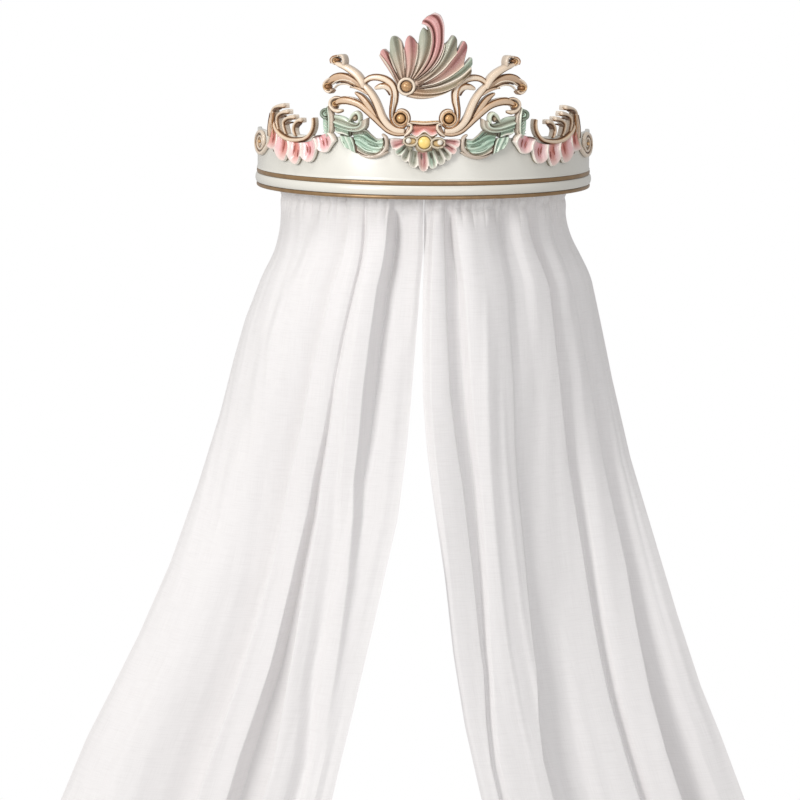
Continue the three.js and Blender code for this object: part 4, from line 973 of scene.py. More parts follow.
def acanthus_leaf(c):
    # Painted shadow: the first rails start dark olive, between the curled leaf and the blade.
    blade = [
        (
            [
                (351.0, 132.8), (358, 130.6), (364.9, 129.4), (371, 134.8), (378, 139.6),
                (383, 137.6),
            ],
            0.62, [SAGE_DEEP * 0.7, SAGE_DEEP * 0.8, mix(SAGE, TAUPE, 0.4), MINT_PALE],
        ),
        (
            [
                (351.8, 134.2), (359, 133.0), (365, 133.4), (370.8, 137.6), (377.2, 141.4),
                (383.4, 139.8),
            ],
            0.56, [SAGE_DEEP * 0.8, SAGE_DEEP, mix(MINT_DEEP, MINT, 0.5), MINT],
        ),
        (
            [
                (352.6, 135.6), (359.6, 135.2), (365, 136.4), (371, 140.2), (377.4, 143.0),
                (384.0, 142.0),
            ],
            0.80, [mix(MINT_DEEP, SAGE, 0.5), mix(MINT_DEEP, MINT, 0.6), MINT, MINT_PALE],
        ),
        (
            [
                (353.2, 137.0), (359.8, 137.6), (365, 140.4), (371, 143.8), (377.4, 145.8),
                (384.2, 144.4),
            ],
            0.62, [MINT_DEEP, mix(MINT_DEEP, MINT, 0.5), MINT],
        ),
        (
            [
                (353.8, 138.6), (359.8, 140.4), (364.8, 143.8), (371, 147.0), (378, 148.2),
                (384.6, 146.6),
            ],
            0.88, [MINT, MINT, MINT_PALE],
        ),
        (
            [
                (354.4, 140.4), (359.8, 143.2), (364.4, 146.8), (370.8, 149.6), (378.4, 150.4),
                (385.0, 148.4),
            ],
            0.68, [MINT_DEEP, MINT, MINT],
        ),
        (
            [
                (355.2, 142.8), (359.8, 146.2), (364.2, 149.6), (370.8, 152.0), (379, 152.2),
                (385.6, 149.8),
            ],
            0.84, [MINT, MINT_PALE, MINT_PALE],
        ),
        (
            [
                (356.4, 146.4), (360.2, 149.6), (364.6, 152.2), (371, 153.8), (380, 153.4),
                (386.6, 150.8),
            ],
            0.56, SAGE,
        ),
        (
            [
                (357.2, 149.6), (361.2, 152.2), (365.4, 154.2), (371.6, 155.7), (380.8, 155.0),
                (387.8, 151.6),
            ],
            1.0, TAUPE,
        ),
        (
            [
                (357.8, 152.4), (361.6, 153.8), (365.8, 156), (372, 157.4), (381.4, 156.7),
                (388.8, 152.4),
            ],
            0.45, CREAM_SHADE,
        ),
    ]
    rails(c, blade, HIGH, FACE, spacing=1.0, steps=7, end=1.0)
    lobes = [
        ([(338.8, 134.8), (339.4, 140), (341.0, 144), (343.6, 147.6)], 0.55, MINT),
        ([(341.0, 135.2), (341.8, 139.8), (343.6, 143.6), (346.2, 148.4)], 0.92, MINT_PALE),
        (
            [(343.0, 135.6), (344.4, 140), (346.4, 144), (348.8, 149.6)], 0.66,
            [mix(MINT_DEEP, MINT, 0.4), MINT, MINT],
        ),
        ([(345.2, 136), (347.0, 140.4), (349.0, 144.6), (351.4, 151.2)], 0.92, MINT_PALE),
        (
            [(348.0, 136.4), (349.8, 140.4), (351.4, 145), (353.4, 152.6)], 0.66,
            [mix(MINT_DEEP, MINT, 0.4), MINT, MINT],
        ),
        ([(350.6, 137), (352.2, 140.6), (353.6, 145), (355.2, 153.2)], 0.92, MINT_PALE),
        ([(352.8, 137.6), (354.2, 141), (355.2, 145.4), (356.6, 153.4)], 0.30, UMBER),
    ]
    rails(c, lobes, HIGH, FACE, spacing=1.0, steps=7, end=1.8)
    # Fine veins on both sides of the midrib
    for line in (
        [(356.4, 134.6), (361.6, 136.6), (366.4, 140.0), (371.4, 142.6)],
        [(362.0, 131.8), (367.0, 135.4), (372.4, 139.2), (377.0, 141.4)],
        [(357.4, 138.4), (361.4, 142.2), (366.4, 145.6), (373.0, 148.0)],
        [(367.6, 143.4), (372.8, 145.4), (378.8, 146.2)],
        [(365.6, 131.4), (369.8, 135.8), (374.8, 139.6)],
        [(361.4, 146.4), (366.8, 149.6), (373.4, 151.2)],
        [(370.6, 140.4), (375.4, 143.6), (380.6, 144.0)],
    ):
        roll(
            c, line, [0.3, 0.55, 0.45, 0.25], HIGH - 1.3, MINT_DEEP * 0.75, 3.0, ends=(0.6, 0.6),
            full=0.8,
        )
    # The border roll's wall is painted a darker taupe: painted shade.
    carve(
        c,
        [
            (357.0, 152.8), (361.6, 155.4), (368.0, 157.0), (375.0, 156.6), (381.4, 153.8),
            (385.4, 149.0), (386.6, 143.0),
            (385.2, 137.4), (381.2, 134.0),
        ],
        [1.2, 2.0, 2.5, 2.7, 2.9, 2.8, 2.6, 2.4, 1.4],
        scroll_look(TAUPE * 0.82, TAUPE * 0.9, "plain", "plain"), HIGH + 0.8, FACE,
        other=[0.8, 1.4, 1.8, 2.0, 2.2, 2.2, 2.2, 2.0, 1.2], ends=(1.2, 1.6), spacing=1.0,
        wall=TAUPE * 0.6,
    )
    bead(
        c,
        [
            (361.0, 152.6), (367.4, 154.4), (374.4, 154.0), (379.8, 151.4), (382.8, 147.0),
            (383.6, 142.2), (382.6, 138.0),
        ],
        [0.3, 0.6, 0.6, 0.3], HIGH - 0.6, OLIVE * 0.6, 0.0,
    )
    roll(c, [(356.2, 143.2), (356.6, 148.6), (357.4, 153.4)], [0.7, 1.2, 0.9], MID, UMBER, FACE)
    for line in (
        [(341.8, 138.0), (344.0, 142.4), (346.6, 146.8)],
        [(346.2, 138.6), (348.4, 143.2), (350.8, 149.0)],
        [(350.6, 139.0), (352.4, 144.2), (354.0, 150.0)],
    ):
        roll(c, line, [0.3, 0.6, 0.3], HIGH - 0.8, MINT_DEEP * 0.7, 3.0, ends=(0.6, 0.6))


def curled_leaf(c):
    lines = [
        (
            [
                (333.2, 114.8), (338, 115.4), (343, 116.8), (347.4, 119.4), (350.6, 121.4),
                (354.6, 123.0), (358.6, 122.0),
            ],
            0.52, [MINT_PALE, MINT],
        ),
        (
            [
                (333.4, 117.4), (338.4, 118.6), (343.6, 120.4), (348.4, 122.6), (352.4, 124.0),
                (356.4, 124.4), (359.6, 121.8),
            ],
            0.60, SAGE * 1.15,
        ),
        (
            [
                (333.6, 119.6), (338.8, 121.4), (344.2, 123.4), (349.4, 125.2), (353.6, 125.9),
                (357.8, 125.4), (360.4, 121.6),
            ],
            0.42, SAGE,
        ),
        (
            [
                (333.8, 121.8), (339.4, 124), (345, 126), (350.6, 127.4), (356.4, 127.3),
                (360.2, 124.9), (361.2, 120.6),
            ],
            1.0, MINT_PALE,
        ),
        (
            [
                (334.0, 124.2), (339.8, 126.4), (345.6, 128.2), (351, 129.4), (357.6, 129.2),
                (362.2, 126.0), (363.2, 119.6),
            ],
            0.66, [MINT_DEEP, SAGE, TAUPE * 0.85],
        ),
        (
            [
                (334.4, 126.0), (340.0, 128.2), (346.0, 130.0), (351.4, 131.0), (358.6, 130.6),
                (364.4, 127.2), (366.0, 118.2),
            ],
            0.84, [MINT, MINT_PALE, TAUPE * 0.9],
        ),
        (
            [
                (334.8, 127.6), (340.4, 129.6), (346.4, 131.4), (351.6, 132.6), (359.4, 132.2),
                (366.6, 128.2), (368.2, 117.6),
            ],
            0.42, [MINT_DEEP, SAGE_DEEP, TAUPE * 0.7],
        ),
    ]
    rails(c, lines, FULL - 2, FACE, spacing=1.0, steps=7, end=1.6)
    lobes = [
        ([(334.4, 126.2), (338.6, 127.6), (343.6, 128.8), (348.4, 130.6)], 0.86, MINT_PALE),
        (
            [(334.8, 128.4), (338.6, 130.2), (342.8, 131.0), (348.2, 133.0)], 0.52,
            [MINT_DEEP, MINT, MINT_DEEP],
        ),
        (
            [(335.4, 131.0), (338.6, 132.6), (342.6, 133.2), (348.6, 135.4)], 0.92,
            [MINT_PALE, IVORY, MINT_PALE],
        ),
        ([(336.4, 133.8), (339.4, 135.0), (343.2, 135.4), (348.8, 137.4)], 0.36, MINT_DEEP * 0.8),
    ]
    rails(c, lobes, FULL - 3.4, FACE, spacing=1.0, steps=7, end=1.6)
    # Painted shade: a dark strip in the notch between the lobes.
    roll(
        c, [(348.8, 129.0), (350.4, 132.2), (350.6, 136.2)], [0.7, 1.2, 0.9], MID, SAGE_DEEP * 0.6,
        FACE,
    )
    carve(
        c,
        [
            (347.6, 122.6), (351.0, 118.0), (353.6, 114.2), (356.6, 112.8), (358.9, 115.0),
            (359.4, 119.4), (358.8, 123.6),
        ],
        [0.8, 1.8, 2.2, 2.2, 2.1, 2.0, 1.6], scroll_look(MINT_PALE, OLIVE, "plain", "plain"), FULL,
        1.0, ends=(1.2, 1.2), spacing=0.9,
    )
    roll(
        c, [(353.0, 121.0), (355.2, 117.4), (356.4, 115.2)], [1.6, 2.6, 1.6], FULL - 2.6,
        mix(OLIVE, TAN, 0.4), 1.0,
    )
    roll(
        c, [(351.8, 121.6), (353.6, 120.2), (355.0, 118.4)], [0.7, 1.0, 0.6], FULL - 1.6,
        SAGE_DEEP * 0.5, 6.0,
    )


def main_scroll(c):
    member = scroll_look(PEACH, TAN, "line", "line", rim=1.6, width=1.05)
    # Lower strand: its groove follows the upper edge, and its end curls under
    carve(
        c,
        [
            (405.4, 133.8), (396.2, 133.8), (388.0, 130.9), (381.2, 125.2), (374.8, 118.6),
            (367.6, 111.6), (359.6, 104.9),
            (351.0, 101.2), (343.2, 100.1), (336.8, 101.6), (333.2, 105.0), (333.6, 109.2),
        ],
        [2.4, 2.8, 3.0, 3.0, 3.4, 3.8, 4.0, 4.2, 4.4, 4.4, 3.6, 2.2], member, MID + 1.6, CREST,
        other=[2.0, 2.0, 2.0, 2.2, 3.2, 3.8, 3.8, 3.7, 3.9, 4.0, 3.0, 2.0], ends=(1.2, 2.4),
        spacing=1.0, across=23,
    )
    # Painted shade: the curl's wall is a darkened cream.
    carve(
        c,
        [
            (340.0, 98.0), (334.6, 97.6), (330.4, 100.2), (329.4, 104.4), (331.8, 108.8),
            (336.6, 111.2), (341.8, 110.6),
        ],
        [1.0, 1.6, 1.9, 2.0, 2.2, 2.4, 1.6],
        scroll_look(CREAM, TAN, "plain", "line", rim=1.0, width=1.1), MID + 2.6, -1.0,
        ends=(1.0, 1.4), across=17, spacing=0.9, wall=CREAM_SHADE * 0.8,
    )
    roll(
        c, [(334.6, 102.6), (333.8, 105.8), (336.4, 108.0)], [0.9, 1.4, 0.9], MID + 1.2, UMBER, -1.0
    )
    # Leaf between the strands, peach, its groove on its upper edge
    carve(
        c,
        [
            (378.2, 122.0), (374.2, 114.4), (369.6, 106.4), (363.8, 99.0), (358.2, 94.6),
            (353.8, 92.2),
        ],
        [1.4, 4.2, 5.2, 5.2, 3.8, 1.4],
        scroll_look(PEACH, TAN, "line", "line", rim=1.6, width=1.05), MID + 0.4, CREST,
        other=[1.2, 2.0, 2.2, 2.4, 2.2, 1.0], ends=(1.4, 1.4), across=21, spacing=1.0,
    )
    # Upper strand: a broad pale band that narrows to the feather
    # Painted shade: its wall is a darker cream than its top.
    carve(
        c,
        [
            (404.8, 131.2), (395.0, 129.6), (387.4, 124.4), (381.6, 116.6), (378.4, 109.0),
            (375.2, 101.8), (370.8, 94.6),
            (365.2, 88.0), (360.0, 83.6),
        ],
        [4.0, 4.6, 4.8, 4.6, 4.2, 4.0, 3.8, 3.6, 2.4],
        scroll_look(CREAM, PEACH, "line", "plain", rim=1.5, width=1.25), HIGH, CREST,
        other=[2.8, 3.2, 3.4, 3.6, 3.7, 3.7, 3.6, 3.4, 2.4], ends=(1.2, 2.0), spacing=1.0,
        across=23, wall=CREAM_SHADE,
    )
    # Short leaf
    carve(
        c, [(368.0, 94.6), (363.0, 90.6), (357.4, 88.2), (352.6, 87.2), (348.6, 87.2)],
        [1.6, 2.4, 2.2, 1.6, 0.8],
        scroll_look(PEACH, TAN, "plain", "line", rim=0.9, width=0.9), LOW + 3.4, CREST,
        other=[1.4, 1.8, 1.6, 1.2, 0.7], ends=(1.2, 1.2),
    )
    # Upper feather
    # Painted shade: its wall is a darker cream than its top.
    carve(
        c,
        [
            (363.4, 88.6), (360.6, 82.4), (355.8, 76.0), (349.6, 71.0), (343.0, 67.2),
            (337.2, 64.8), (333.2, 62.2),
        ],
        [2.4, 3.4, 3.4, 3.2, 2.8, 2.2, 1.4],
        scroll_look(CREAM, PEACH, "line", "plain", rim=1.4, width=1.25), HIGH, CREST,
        other=[2.4, 4.2, 4.6, 4.4, 4.0, 3.6, 2.4], ends=(1.2, 1.2), spacing=0.9, across=21,
        wall=CREAM_SHADE,
    )
    carve(
        c, [(334.6, 64.6), (331.9, 61.8), (332.2, 58.4), (335.0, 56.4), (338.6, 56.2)],
        [1.2, 1.8, 1.9, 1.7, 1.2],
        scroll_look(CREAM, TAN, "plain", "line", rim=0.8, width=1.0), HIGH + 1.6, CREST,
        ends=(1.2, 1.2), across=15, spacing=0.9,
    )
    roll(
        c, [(335.2, 60.8), (337.2, 59.6), (339.0, 60.2)], [1.3, 1.7, 1.2], HIGH - 1.4, GOLD * 0.8,
        CREST,
    )
    roll(
        c, [(338.4, 55.2), (342.2, 56.2), (343.6, 60.0), (343.4, 65.6)], [1.2, 1.6, 1.7, 1.6],
        HIGH + 0.8, CREAM_SHADE, CREST, low=0.75, ends=(1.4, 1.2),
    )
    bead(
        c, [(331.4, 63.4), (331.0, 59.4), (333.6, 56.4), (337.4, 55.6)], [0.5, 0.8, 0.8, 0.5],
        HIGH + 1.8, GOLD, 0.6,
    )
    # Ruffle lobe below the feather
    carve(
        c,
        [
            (362, 88.4), (355.6, 82.4), (348.4, 78.4), (341.0, 76.8), (334.0, 78.0), (328.6, 81.2),
            (325.8, 85.4), (327.4, 89.2), (330.8, 89.8),
        ],
        [2.2, 4.2, 6.2, 6.8, 6.2, 4.8, 3.2, 2.2, 1.4],
        scroll_look(TAN, PEACH, "line", "line", rim=1.2, width=1.3, hollow=0.2),
        MID + 1, CREST, other=[1.8, 2.6, 3.4, 4.0, 4.4, 4.4, 3.4, 2.4, 1.4], ends=(1.4, 1.4),
        spacing=0.9, across=25,
    )
    for line in (
        [(355.6, 84.6), (349.2, 80.9), (342.4, 79.9), (336.0, 81.4), (331.2, 84.6)],
        [(353.0, 87.4), (347.4, 84.4), (341.6, 83.9), (336.4, 85.6), (333.6, 88.6)],
    ):
        roll(c, line, [0.5, 0.9, 1.0, 0.9, 0.5], MID + 1.6, CREAM, 1.0)
    roll(
        c, [(352.6, 85.6), (346.6, 82.5), (340.8, 81.9), (335.4, 83.6)], [0.4, 0.7, 0.7, 0.4],
        MID - 0.2, UMBER, 1.0,
    )
    carve(
        c,
        [(330.2, 77.6), (326.0, 80.6), (323.9, 84.8), (325.0, 89.4), (328.4, 92.2), (331.6, 90.0)],
        [1.0, 1.6, 1.9, 1.9, 1.7, 1.0],
        scroll_look(CREAM, TAN, "plain", "line", rim=0.8, width=0.9), MID + 2.2, CREST,
        ends=(1.0, 1.0), across=15, spacing=0.9,
    )
    gilt_curls(c)


def gilt_curls(c):
    for (x, y), size in (((335.4, 103.6), 2.2), ((327.2, 86.6), 3.0), ((335.8, 60.4), 2.0)):
        knob(c, (x, y), size, CREST, MID + 1.6, GOLD * 0.8, 0.5)
        carve(
            c, round_line((x, y), size, size, 12, start=1.0, turn=4.6), [0.5, 0.9, 1.0, 0.9, 0.4],
            plain_look(GOLD_LIGHT, 0.5),
            MID + 3.4, 2.0, ends=(0.7, 0.7), across=9, spacing=0.8,
        )


def inner_scroll(c):
    arch = [
        (362.8, 88.4), (363.6, 83.0), (367.4, 79.6), (373, 78.0), (379.4, 78.4), (385.8, 80.9),
        (391.0, 85.6), (393.4, 92.4),
        (393.2, 100), (391.6, 109), (391.4, 117.8), (394.4, 124.2), (400.5, 126.9), (406.2, 124.4),
        (408.5, 118.5), (406.2, 112.6),
        (400.8, 110.2), (396.2, 111.6),
    ]
    carve(
        c, arch,
        [1.6, 3.0, 3.8, 4.2, 4.4, 4.6, 4.8, 4.9, 4.8, 4.0, 3.2, 2.6, 2.4, 2.3, 2.2, 2.1, 2.0, 1.2],
        scroll_look(CREAM, PEACH, "line", "line", rim=1.3, width=1.1), MID + 1, CREST,
        other=[
            1.6, 2.2, 2.6, 2.9, 3.1, 3.2, 3.3, 3.4, 3.3, 3.0, 2.6, 2.4, 2.3, 2.2, 2.1, 2.0, 1.9, 1.2
        ],
        ends=(1.6, 1.4),
        spacing=0.9, across=23,
    )
    # Hook inside the arch: a gilt groove that runs down into the volute
    carve(
        c, [(392.8, 98), (391.2, 91.0), (387.4, 87.2), (382.4, 86.0), (377.6, 87.2), (373.8, 88.8)],
        [1.6, 2.8, 3.4, 3.4, 2.9, 1.4],
        scroll_look(CREAM, TAN, "plain", "line", rim=0.9, width=1.0), MID + 0.4, CREST,
        ends=(1.0, 1.4), across=17, spacing=0.9,
    )
    groove = [
        (381.2, 84.4), (385.4, 83.8), (389.2, 86.0), (391.8, 90.4), (392.5, 96.4), (391.9, 103.4),
        (390.8, 110.8), (390.5, 118.1),
        (392.9, 124.0), (397.4, 127.6), (402.6, 127.6), (406.9, 124.1),
    ]
    bead(c, groove, [0.5, 0.8, 0.9, 1.0, 1.0, 1.0, 0.9, 0.9, 0.8], MID + 1.2, GOLD, 0.9)
    roll(
        c, [(x + 1.5, y - 0.3) for x, y in groove[3:8]], [0.5, 0.9, 0.9, 0.6], MID + 1.9, IVORY, 2.0
    )
    roll(c, [(383.6, 87.8), (387.6, 90.6), (389.4, 95.6)], [1.0, 1.7, 0.8], MID - 1.4, UMBER, CREST)
    # Painted shade: a dark disc round the pearl, in the crevice under it.
    knob(c, (401.0, 118.4), 8.2, CREST, 0.8, GOLD * 0.7, 0.3)
    carve(
        c, round_line((400.6, 118.4), 6.6, 6.6, 16), [1.3, 1.3],
        plain_look(mix(GOLD_LIGHT, TAN, 0.5), 0.5), MID, CREST, loop=True, across=9,
        spacing=0.9,
    )


ROOT = colour(206, 182, 164)


def flute_ends(left, right, ends, body, light, deep):
    """Rails of one flute between its two ridges, painted lighter on the left and darker before the
    next ridge: painted highlight and painted shade.
    """
    tones = {"light": light, "body": body, "deep": deep, "pale": CREAM_SHADE}
    heights = {"light": 0.72, "body": 0.92, "deep": 0.40, "pale": 0.66}
    out = []

    def rail(share, tip, tone, rise):
        line = between(left, right, share, tip)
        rises = [0.8 * rise, 0.9 * rise, rise, rise]
        shades = [ROOT, mix(ROOT, tone, 0.45), mix(ROOT, tone, 0.85), tone]
        out.append((line, rises, shades))

    first, last = np.array(ends[0][1]), np.array(ends[-1][1])
    rail(0.05, mix(np.array(left[-1]), first, 0.35), mix(light, deep, 0.4), 0.62)
    for share, tip, kind in ends:
        rail(share, tip, tones[kind], heights[kind])
    rail(0.94, mix(last, np.array(right[-1]), 0.7), mix(deep, CREAM_SHADE, 0.35), 0.44)
    return out


def crest_shell(c):
    ridge = [
        [(397.8, 84), (394.2, 76.6), (389.4, 67.6), (384.0, 59.6), (379.6, 54.4)],
        [(400.2, 79.4), (396.9, 73), (393.2, 64.7), (389.4, 54.4)],
        [(404.9, 77.6), (405.3, 69), (404.9, 60), (404.0, 49.4)],
        [(410.8, 78), (414.9, 66.3), (417.4, 54.7), (418.0, 44.2)],
        [
            (413.6, 79.9), (422.3, 68), (428.2, 57.2), (431.4, 45.5), (431.9, 37.2), (430.2, 29.4),
            (426.2, 25.6),
        ],
        [(416.8, 81.2), (430, 72), (438.6, 62.0), (443.2, 52), (444.8, 44.4)],
        [(417.2, 84.6), (424, 83), (434.8, 76.3), (444, 68.8), (451.5, 59.7), (457.4, 52.4)],
        [(417.6, 87.2), (421.5, 86.3), (434, 83.8), (445.7, 78.8), (455.7, 72.2), (464.2, 65.0)],
        [(416.4, 89.4), (424, 89.3), (437.3, 87.2), (449, 83), (461.5, 76.3), (471.4, 67.4)],
    ]
    # Each flute colour with a lighter and a darker copy of it, for painted highlight and painted
    # shade.
    rose = (ROSE, ROSE_LIGHT, ROSE_DEEP)
    sage = (SAGE, SAGE * 1.12, SAGE_DEEP)
    mint = (mix(MINT, SAGE, 0.4), MINT_PALE, mix(MINT_DEEP, SAGE, 0.4))

    def rib(k, high=1.04):
        return (ridge[k], [0.9, 0.95, high, high * 0.9], [PEACH, CREAM, CREAM])

    lines = [
        (
            [(397.0, 86.0), (392.8, 78.4), (387.6, 70.0), (382.4, 62.0), (378.6, 55.6)], 0.5,
            [ROOT, ROSE, ROSE],
        ),
        rib(0, 0.95),
    ]
    lines += flute_ends(
        ridge[0], ridge[1],
        [
            (0.3, (380.6, 50.8), "light"), (0.55, (383.4, 49.0), "body"),
            (0.85, (386.6, 51.4), "deep"),
        ],
        *rose,
    )
    lines.append(rib(1))
    lines += flute_ends(
        ridge[1], ridge[2],
        [
            (0.10, (390.0, 40.6), "light"), (0.38, (392.2, 36.2), "body"),
            (0.62, (396.6, 37.0), "deep"), (0.84, (401.0, 41.2), "pale"),
        ],
        *sage,
    )
    lines.append(rib(2))
    lines += flute_ends(
        ridge[2], ridge[3],
        [
            (0.12, (405.8, 39.6), "light"), (0.44, (408.9, 35.6), "body"),
            (0.74, (413.4, 38.2), "deep"),
        ],
        *rose,
    )
    lines.append(rib(3))
    lines += flute_ends(
        ridge[3], ridge[4],
        [
            (0.12, (420.0, 33.0), "light"), (0.42, (423.2, 27.8), "body"),
            (0.78, (427.6, 30.2), "deep"),
        ],
        *sage,
    )
    # The tall flute, curled over to the left at its top; its rails run lighter and darker across
    # it: painted highlight and painted shade
    tall = [
        (ridge[4] + [(422.3, 24.3)], [0.9, 1.0, 1.04, 1.0], [PEACH, CREAM, CREAM, ROSE_PALE]),
        (
            [
                (414.6, 79.4), (423.2, 69), (429.6, 58), (432.8, 46), (433.2, 36.6), (431.2, 28.2),
                (427, 23.6), (422, 22.6),
            ],
            0.84, [ROOT, ROSE, ROSE_LIGHT],
        ),
        (
            [
                (415.2, 79.2), (424.0, 69.7), (430.4, 59), (434.0, 47), (434.6, 37), (432.8, 28.6),
                (428.4, 22.6), (422.6, 20.8),
            ],
            0.40, [ROOT, mix(ROSE_DEEP, ROSE, 0.4), ROSE_DEEP],
        ),
        (
            [
                (415.8, 79.2), (425.4, 69.8), (432.2, 59), (436.2, 47), (437.0, 37), (435.6, 28),
                (431.6, 21.6), (425.0, 18.4),
            ],
            0.92, [ROOT, ROSE_LIGHT, ROSE_LIGHT],
        ),
        (
            [
                (416.2, 79.4), (427, 69.8), (434.6, 59), (439, 47), (440, 37), (438.8, 26),
                (434.6, 18.8), (427.6, 16.2),
            ],
            0.80, [ROOT, ROSE, ROSE],
        ),
        (
            [
                (416.4, 79.8), (428.2, 70.2), (436.2, 59.6), (441, 47), (442, 36), (441, 24.6),
                (437, 17.0), (430.6, 14.9),
            ],
            0.42, [ROOT, mix(ROSE_DEEP, ROSE, 0.4), ROSE_DEEP],
        ),
        (
            [
                (416.6, 80.4), (429, 71), (437.4, 60.4), (442.6, 48), (443.8, 36), (443.2, 24),
                (439.4, 15.8), (434, 13.3),
            ],
            0.98, [CREAM, ROSE_PALE, ROSE_PALE],
        ),
        (
            [
                (416.8, 80.8), (429.6, 71.6), (438.2, 61.2), (443.6, 49), (444.8, 36.6),
                (444.4, 24), (440.8, 15.2), (435.8, 12.6),
            ],
            0.55, [CREAM, ROSE_PALE, ROSE_PALE],
        ),
    ]
    left_part, right_part = lines + [rib(4)], [rib(5)]
    right_part += flute_ends(
        ridge[5], ridge[6],
        [
            (0.16, (449.2, 40.4), "light"), (0.46, (453.4, 35.4), "body"),
            (0.80, (457.4, 39.4), "deep"),
        ],
        SAGE, SAGE * 1.1, SAGE_DEEP,
    )
    right_part.append(rib(6))
    right_part += flute_ends(
        ridge[6], ridge[7],
        [
            (0.14, (460.4, 46.4), "light"), (0.46, (464.2, 41.0), "body"),
            (0.80, (468.0, 46.6), "deep"),
        ],
        *rose,
    )
    right_part.append(rib(7))
    right_part += flute_ends(
        ridge[7], ridge[8],
        [
            (0.2, (468.2, 61.2), "light"), (0.5, (471.8, 57.6), "body"),
            (0.82, (473.2, 63.4), "deep"),
        ],
        *mint,
    )
    right_part += [
        (ridge[8], [0.85, 0.95, 1.0, 0.9], [PEACH, CREAM, CREAM]),
        (
            [
                (415.8, 90.2), (428.2, 91.4), (442.3, 89.8), (455.7, 84.6), (465.7, 77.2),
                (472.2, 69.6),
            ],
            0.45, [TAN, OLIVE, OLIVE],
        ),
        (
            [(413.4, 92.6), (428, 93.8), (443, 92), (456.2, 86.4), (465.8, 78.4), (472.0, 71.0)],
            0.78, [TAN, CREAM_SHADE, CREAM_SHADE],
        ),
        (
            [
                (411.4, 94.2), (426, 95.6), (441.6, 93.6), (454.9, 87.7), (465.2, 79.4),
                (471.8, 72.0),
            ],
            0.42, [TAN, OLIVE, OLIVE],
        ),
        (
            [
                (408.6, 95.6), (423, 97.4), (439.4, 95.6), (453.2, 89.2), (464.2, 80.4),
                (471.4, 72.8),
            ],
            0.90, [PEACH, CREAM, CREAM],
        ),
        (
            [
                (405.4, 97.0), (419, 99.4), (433.8, 97.8), (448.8, 91.8), (461.4, 83.0),
                (470.6, 74.0),
            ],
            0.40, TAN,
        ),
    ]
    tall[0] = ([(x - 0.9, y - 0.3) for x, y in tall[0][0]], *tall[0][1:])
    first = right_part[0]
    right_part[0] = ([(x - 0.9, y - 0.5) for x, y in first[0]], *first[1:])
    knob(c, (409.6, 84.8), 10.4, CREST, LOW + 0.6, ROOT)
    roll(c, [(411.0, 86.0), (416.4, 83.4), (423.0, 79.6)], [3.0, 3.0, 2.0], MID - 1, ROOT, CREST)
    # Painted shade: the sheets' walls are a darkened cream.
    for part in (left_part, tall, right_part):
        rails(
            c, part, HIGH + 1.0, CREST, steps=6, spacing=1.1, end=2.6, side=1.0, curl=2.6,
            wall=CREAM_SHADE * 0.8,
        )
    for line in [*ridge[:4], *ridge[5:]]:
        roll(
            c, line[1:], [0.5, 0.8, 0.85, 0.7], HIGH + 2.1, mix(CREAM, IVORY, 0.5), 3.0,
            ends=(2.0, 0.9), full=0.8,
        )
    # Small hooks of the web in the notches
    for x, y in (
        (389.6, 54.0), (404.0, 49.0), (418.2, 43.8), (445.2, 44.0), (457.8, 52.6), (464.6, 64.6)
    ):
        roll(
            c, [(x - 1.6, y - 0.4), (x + 0.2, y + 0.6), (x + 1.8, y - 0.6)], [0.6, 0.9, 0.6], MID,
            CREAM_SHADE, CREST, ends=(0.8, 0.8),
        )
    carve(
        c, round_line((406.4, 86.5), 7.7, 7.7, 16), [2.0, 2.0],
        scroll_look(CREAM, CREAM_SHADE, "plain", "plain"), MID + 2.4, CREST,
        loop=True, across=13, spacing=0.9,
    )
    # Painted shade: a dark disc round the pearl, in the crevice under it.
    knob(c, (406.4, 86.5), 6.4, CREST, LOW + 1.4, mix(UMBER, TAN, 0.35))


# Places between two crests, and the height shares of the rails there
SCALLOP_RAILS = ((0.16, "side"), (0.38, "low"), (0.62, "floor"), (0.84, "side"))
SCALLOP_HIGH = {
    "side": [0.6, 0.66, 0.76, 0.95], "low": [0.3, 0.34, 0.46, 0.9],
    "floor": [0.3, 0.28, 0.38, 0.88],
}
SCALLOP_REACH = np.array([0, 0.25, 0.6, 1.0])[:, None]


def scallops(crests, lobes, tones):
    """Rails of a row of scallops: a crest line at each notch, a hollow to each round lobe, with the
    hollow's floor in the deep tone as painted shade.
    """
    lines = []
    for i, crest in enumerate(crests):
        deepest = tones[min(i, len(tones) - 1)][1]
        lines.append((crest, [0.9, 1.0, 1.0, 0.95], [deepest, IVORY, IVORY]))
        if i == len(crests) - 1:
            break
        a, b = np.array(crest, float), np.array(crests[i + 1], float)
        body, deep = tones[i]
        to_lobe = np.array(lobes[i]) - mix(a[-1], b[-1], 0.5)
        for share, kind in SCALLOP_RAILS:
            reach = 1 - abs(2 * share - 1) ** 3.0
            line = mix(a, b, share) + (to_lobe * reach)[None] * SCALLOP_REACH
            tone = {"side": mix(body, IVORY, 0.35), "low": body, "floor": deep}[kind]
            shades = [mix(tone, deep, 0.5), tone, tone, mix(tone, IVORY, 0.6)]
            lines.append(([tuple(q) for q in line], SCALLOP_HIGH[kind], shades))
    return lines


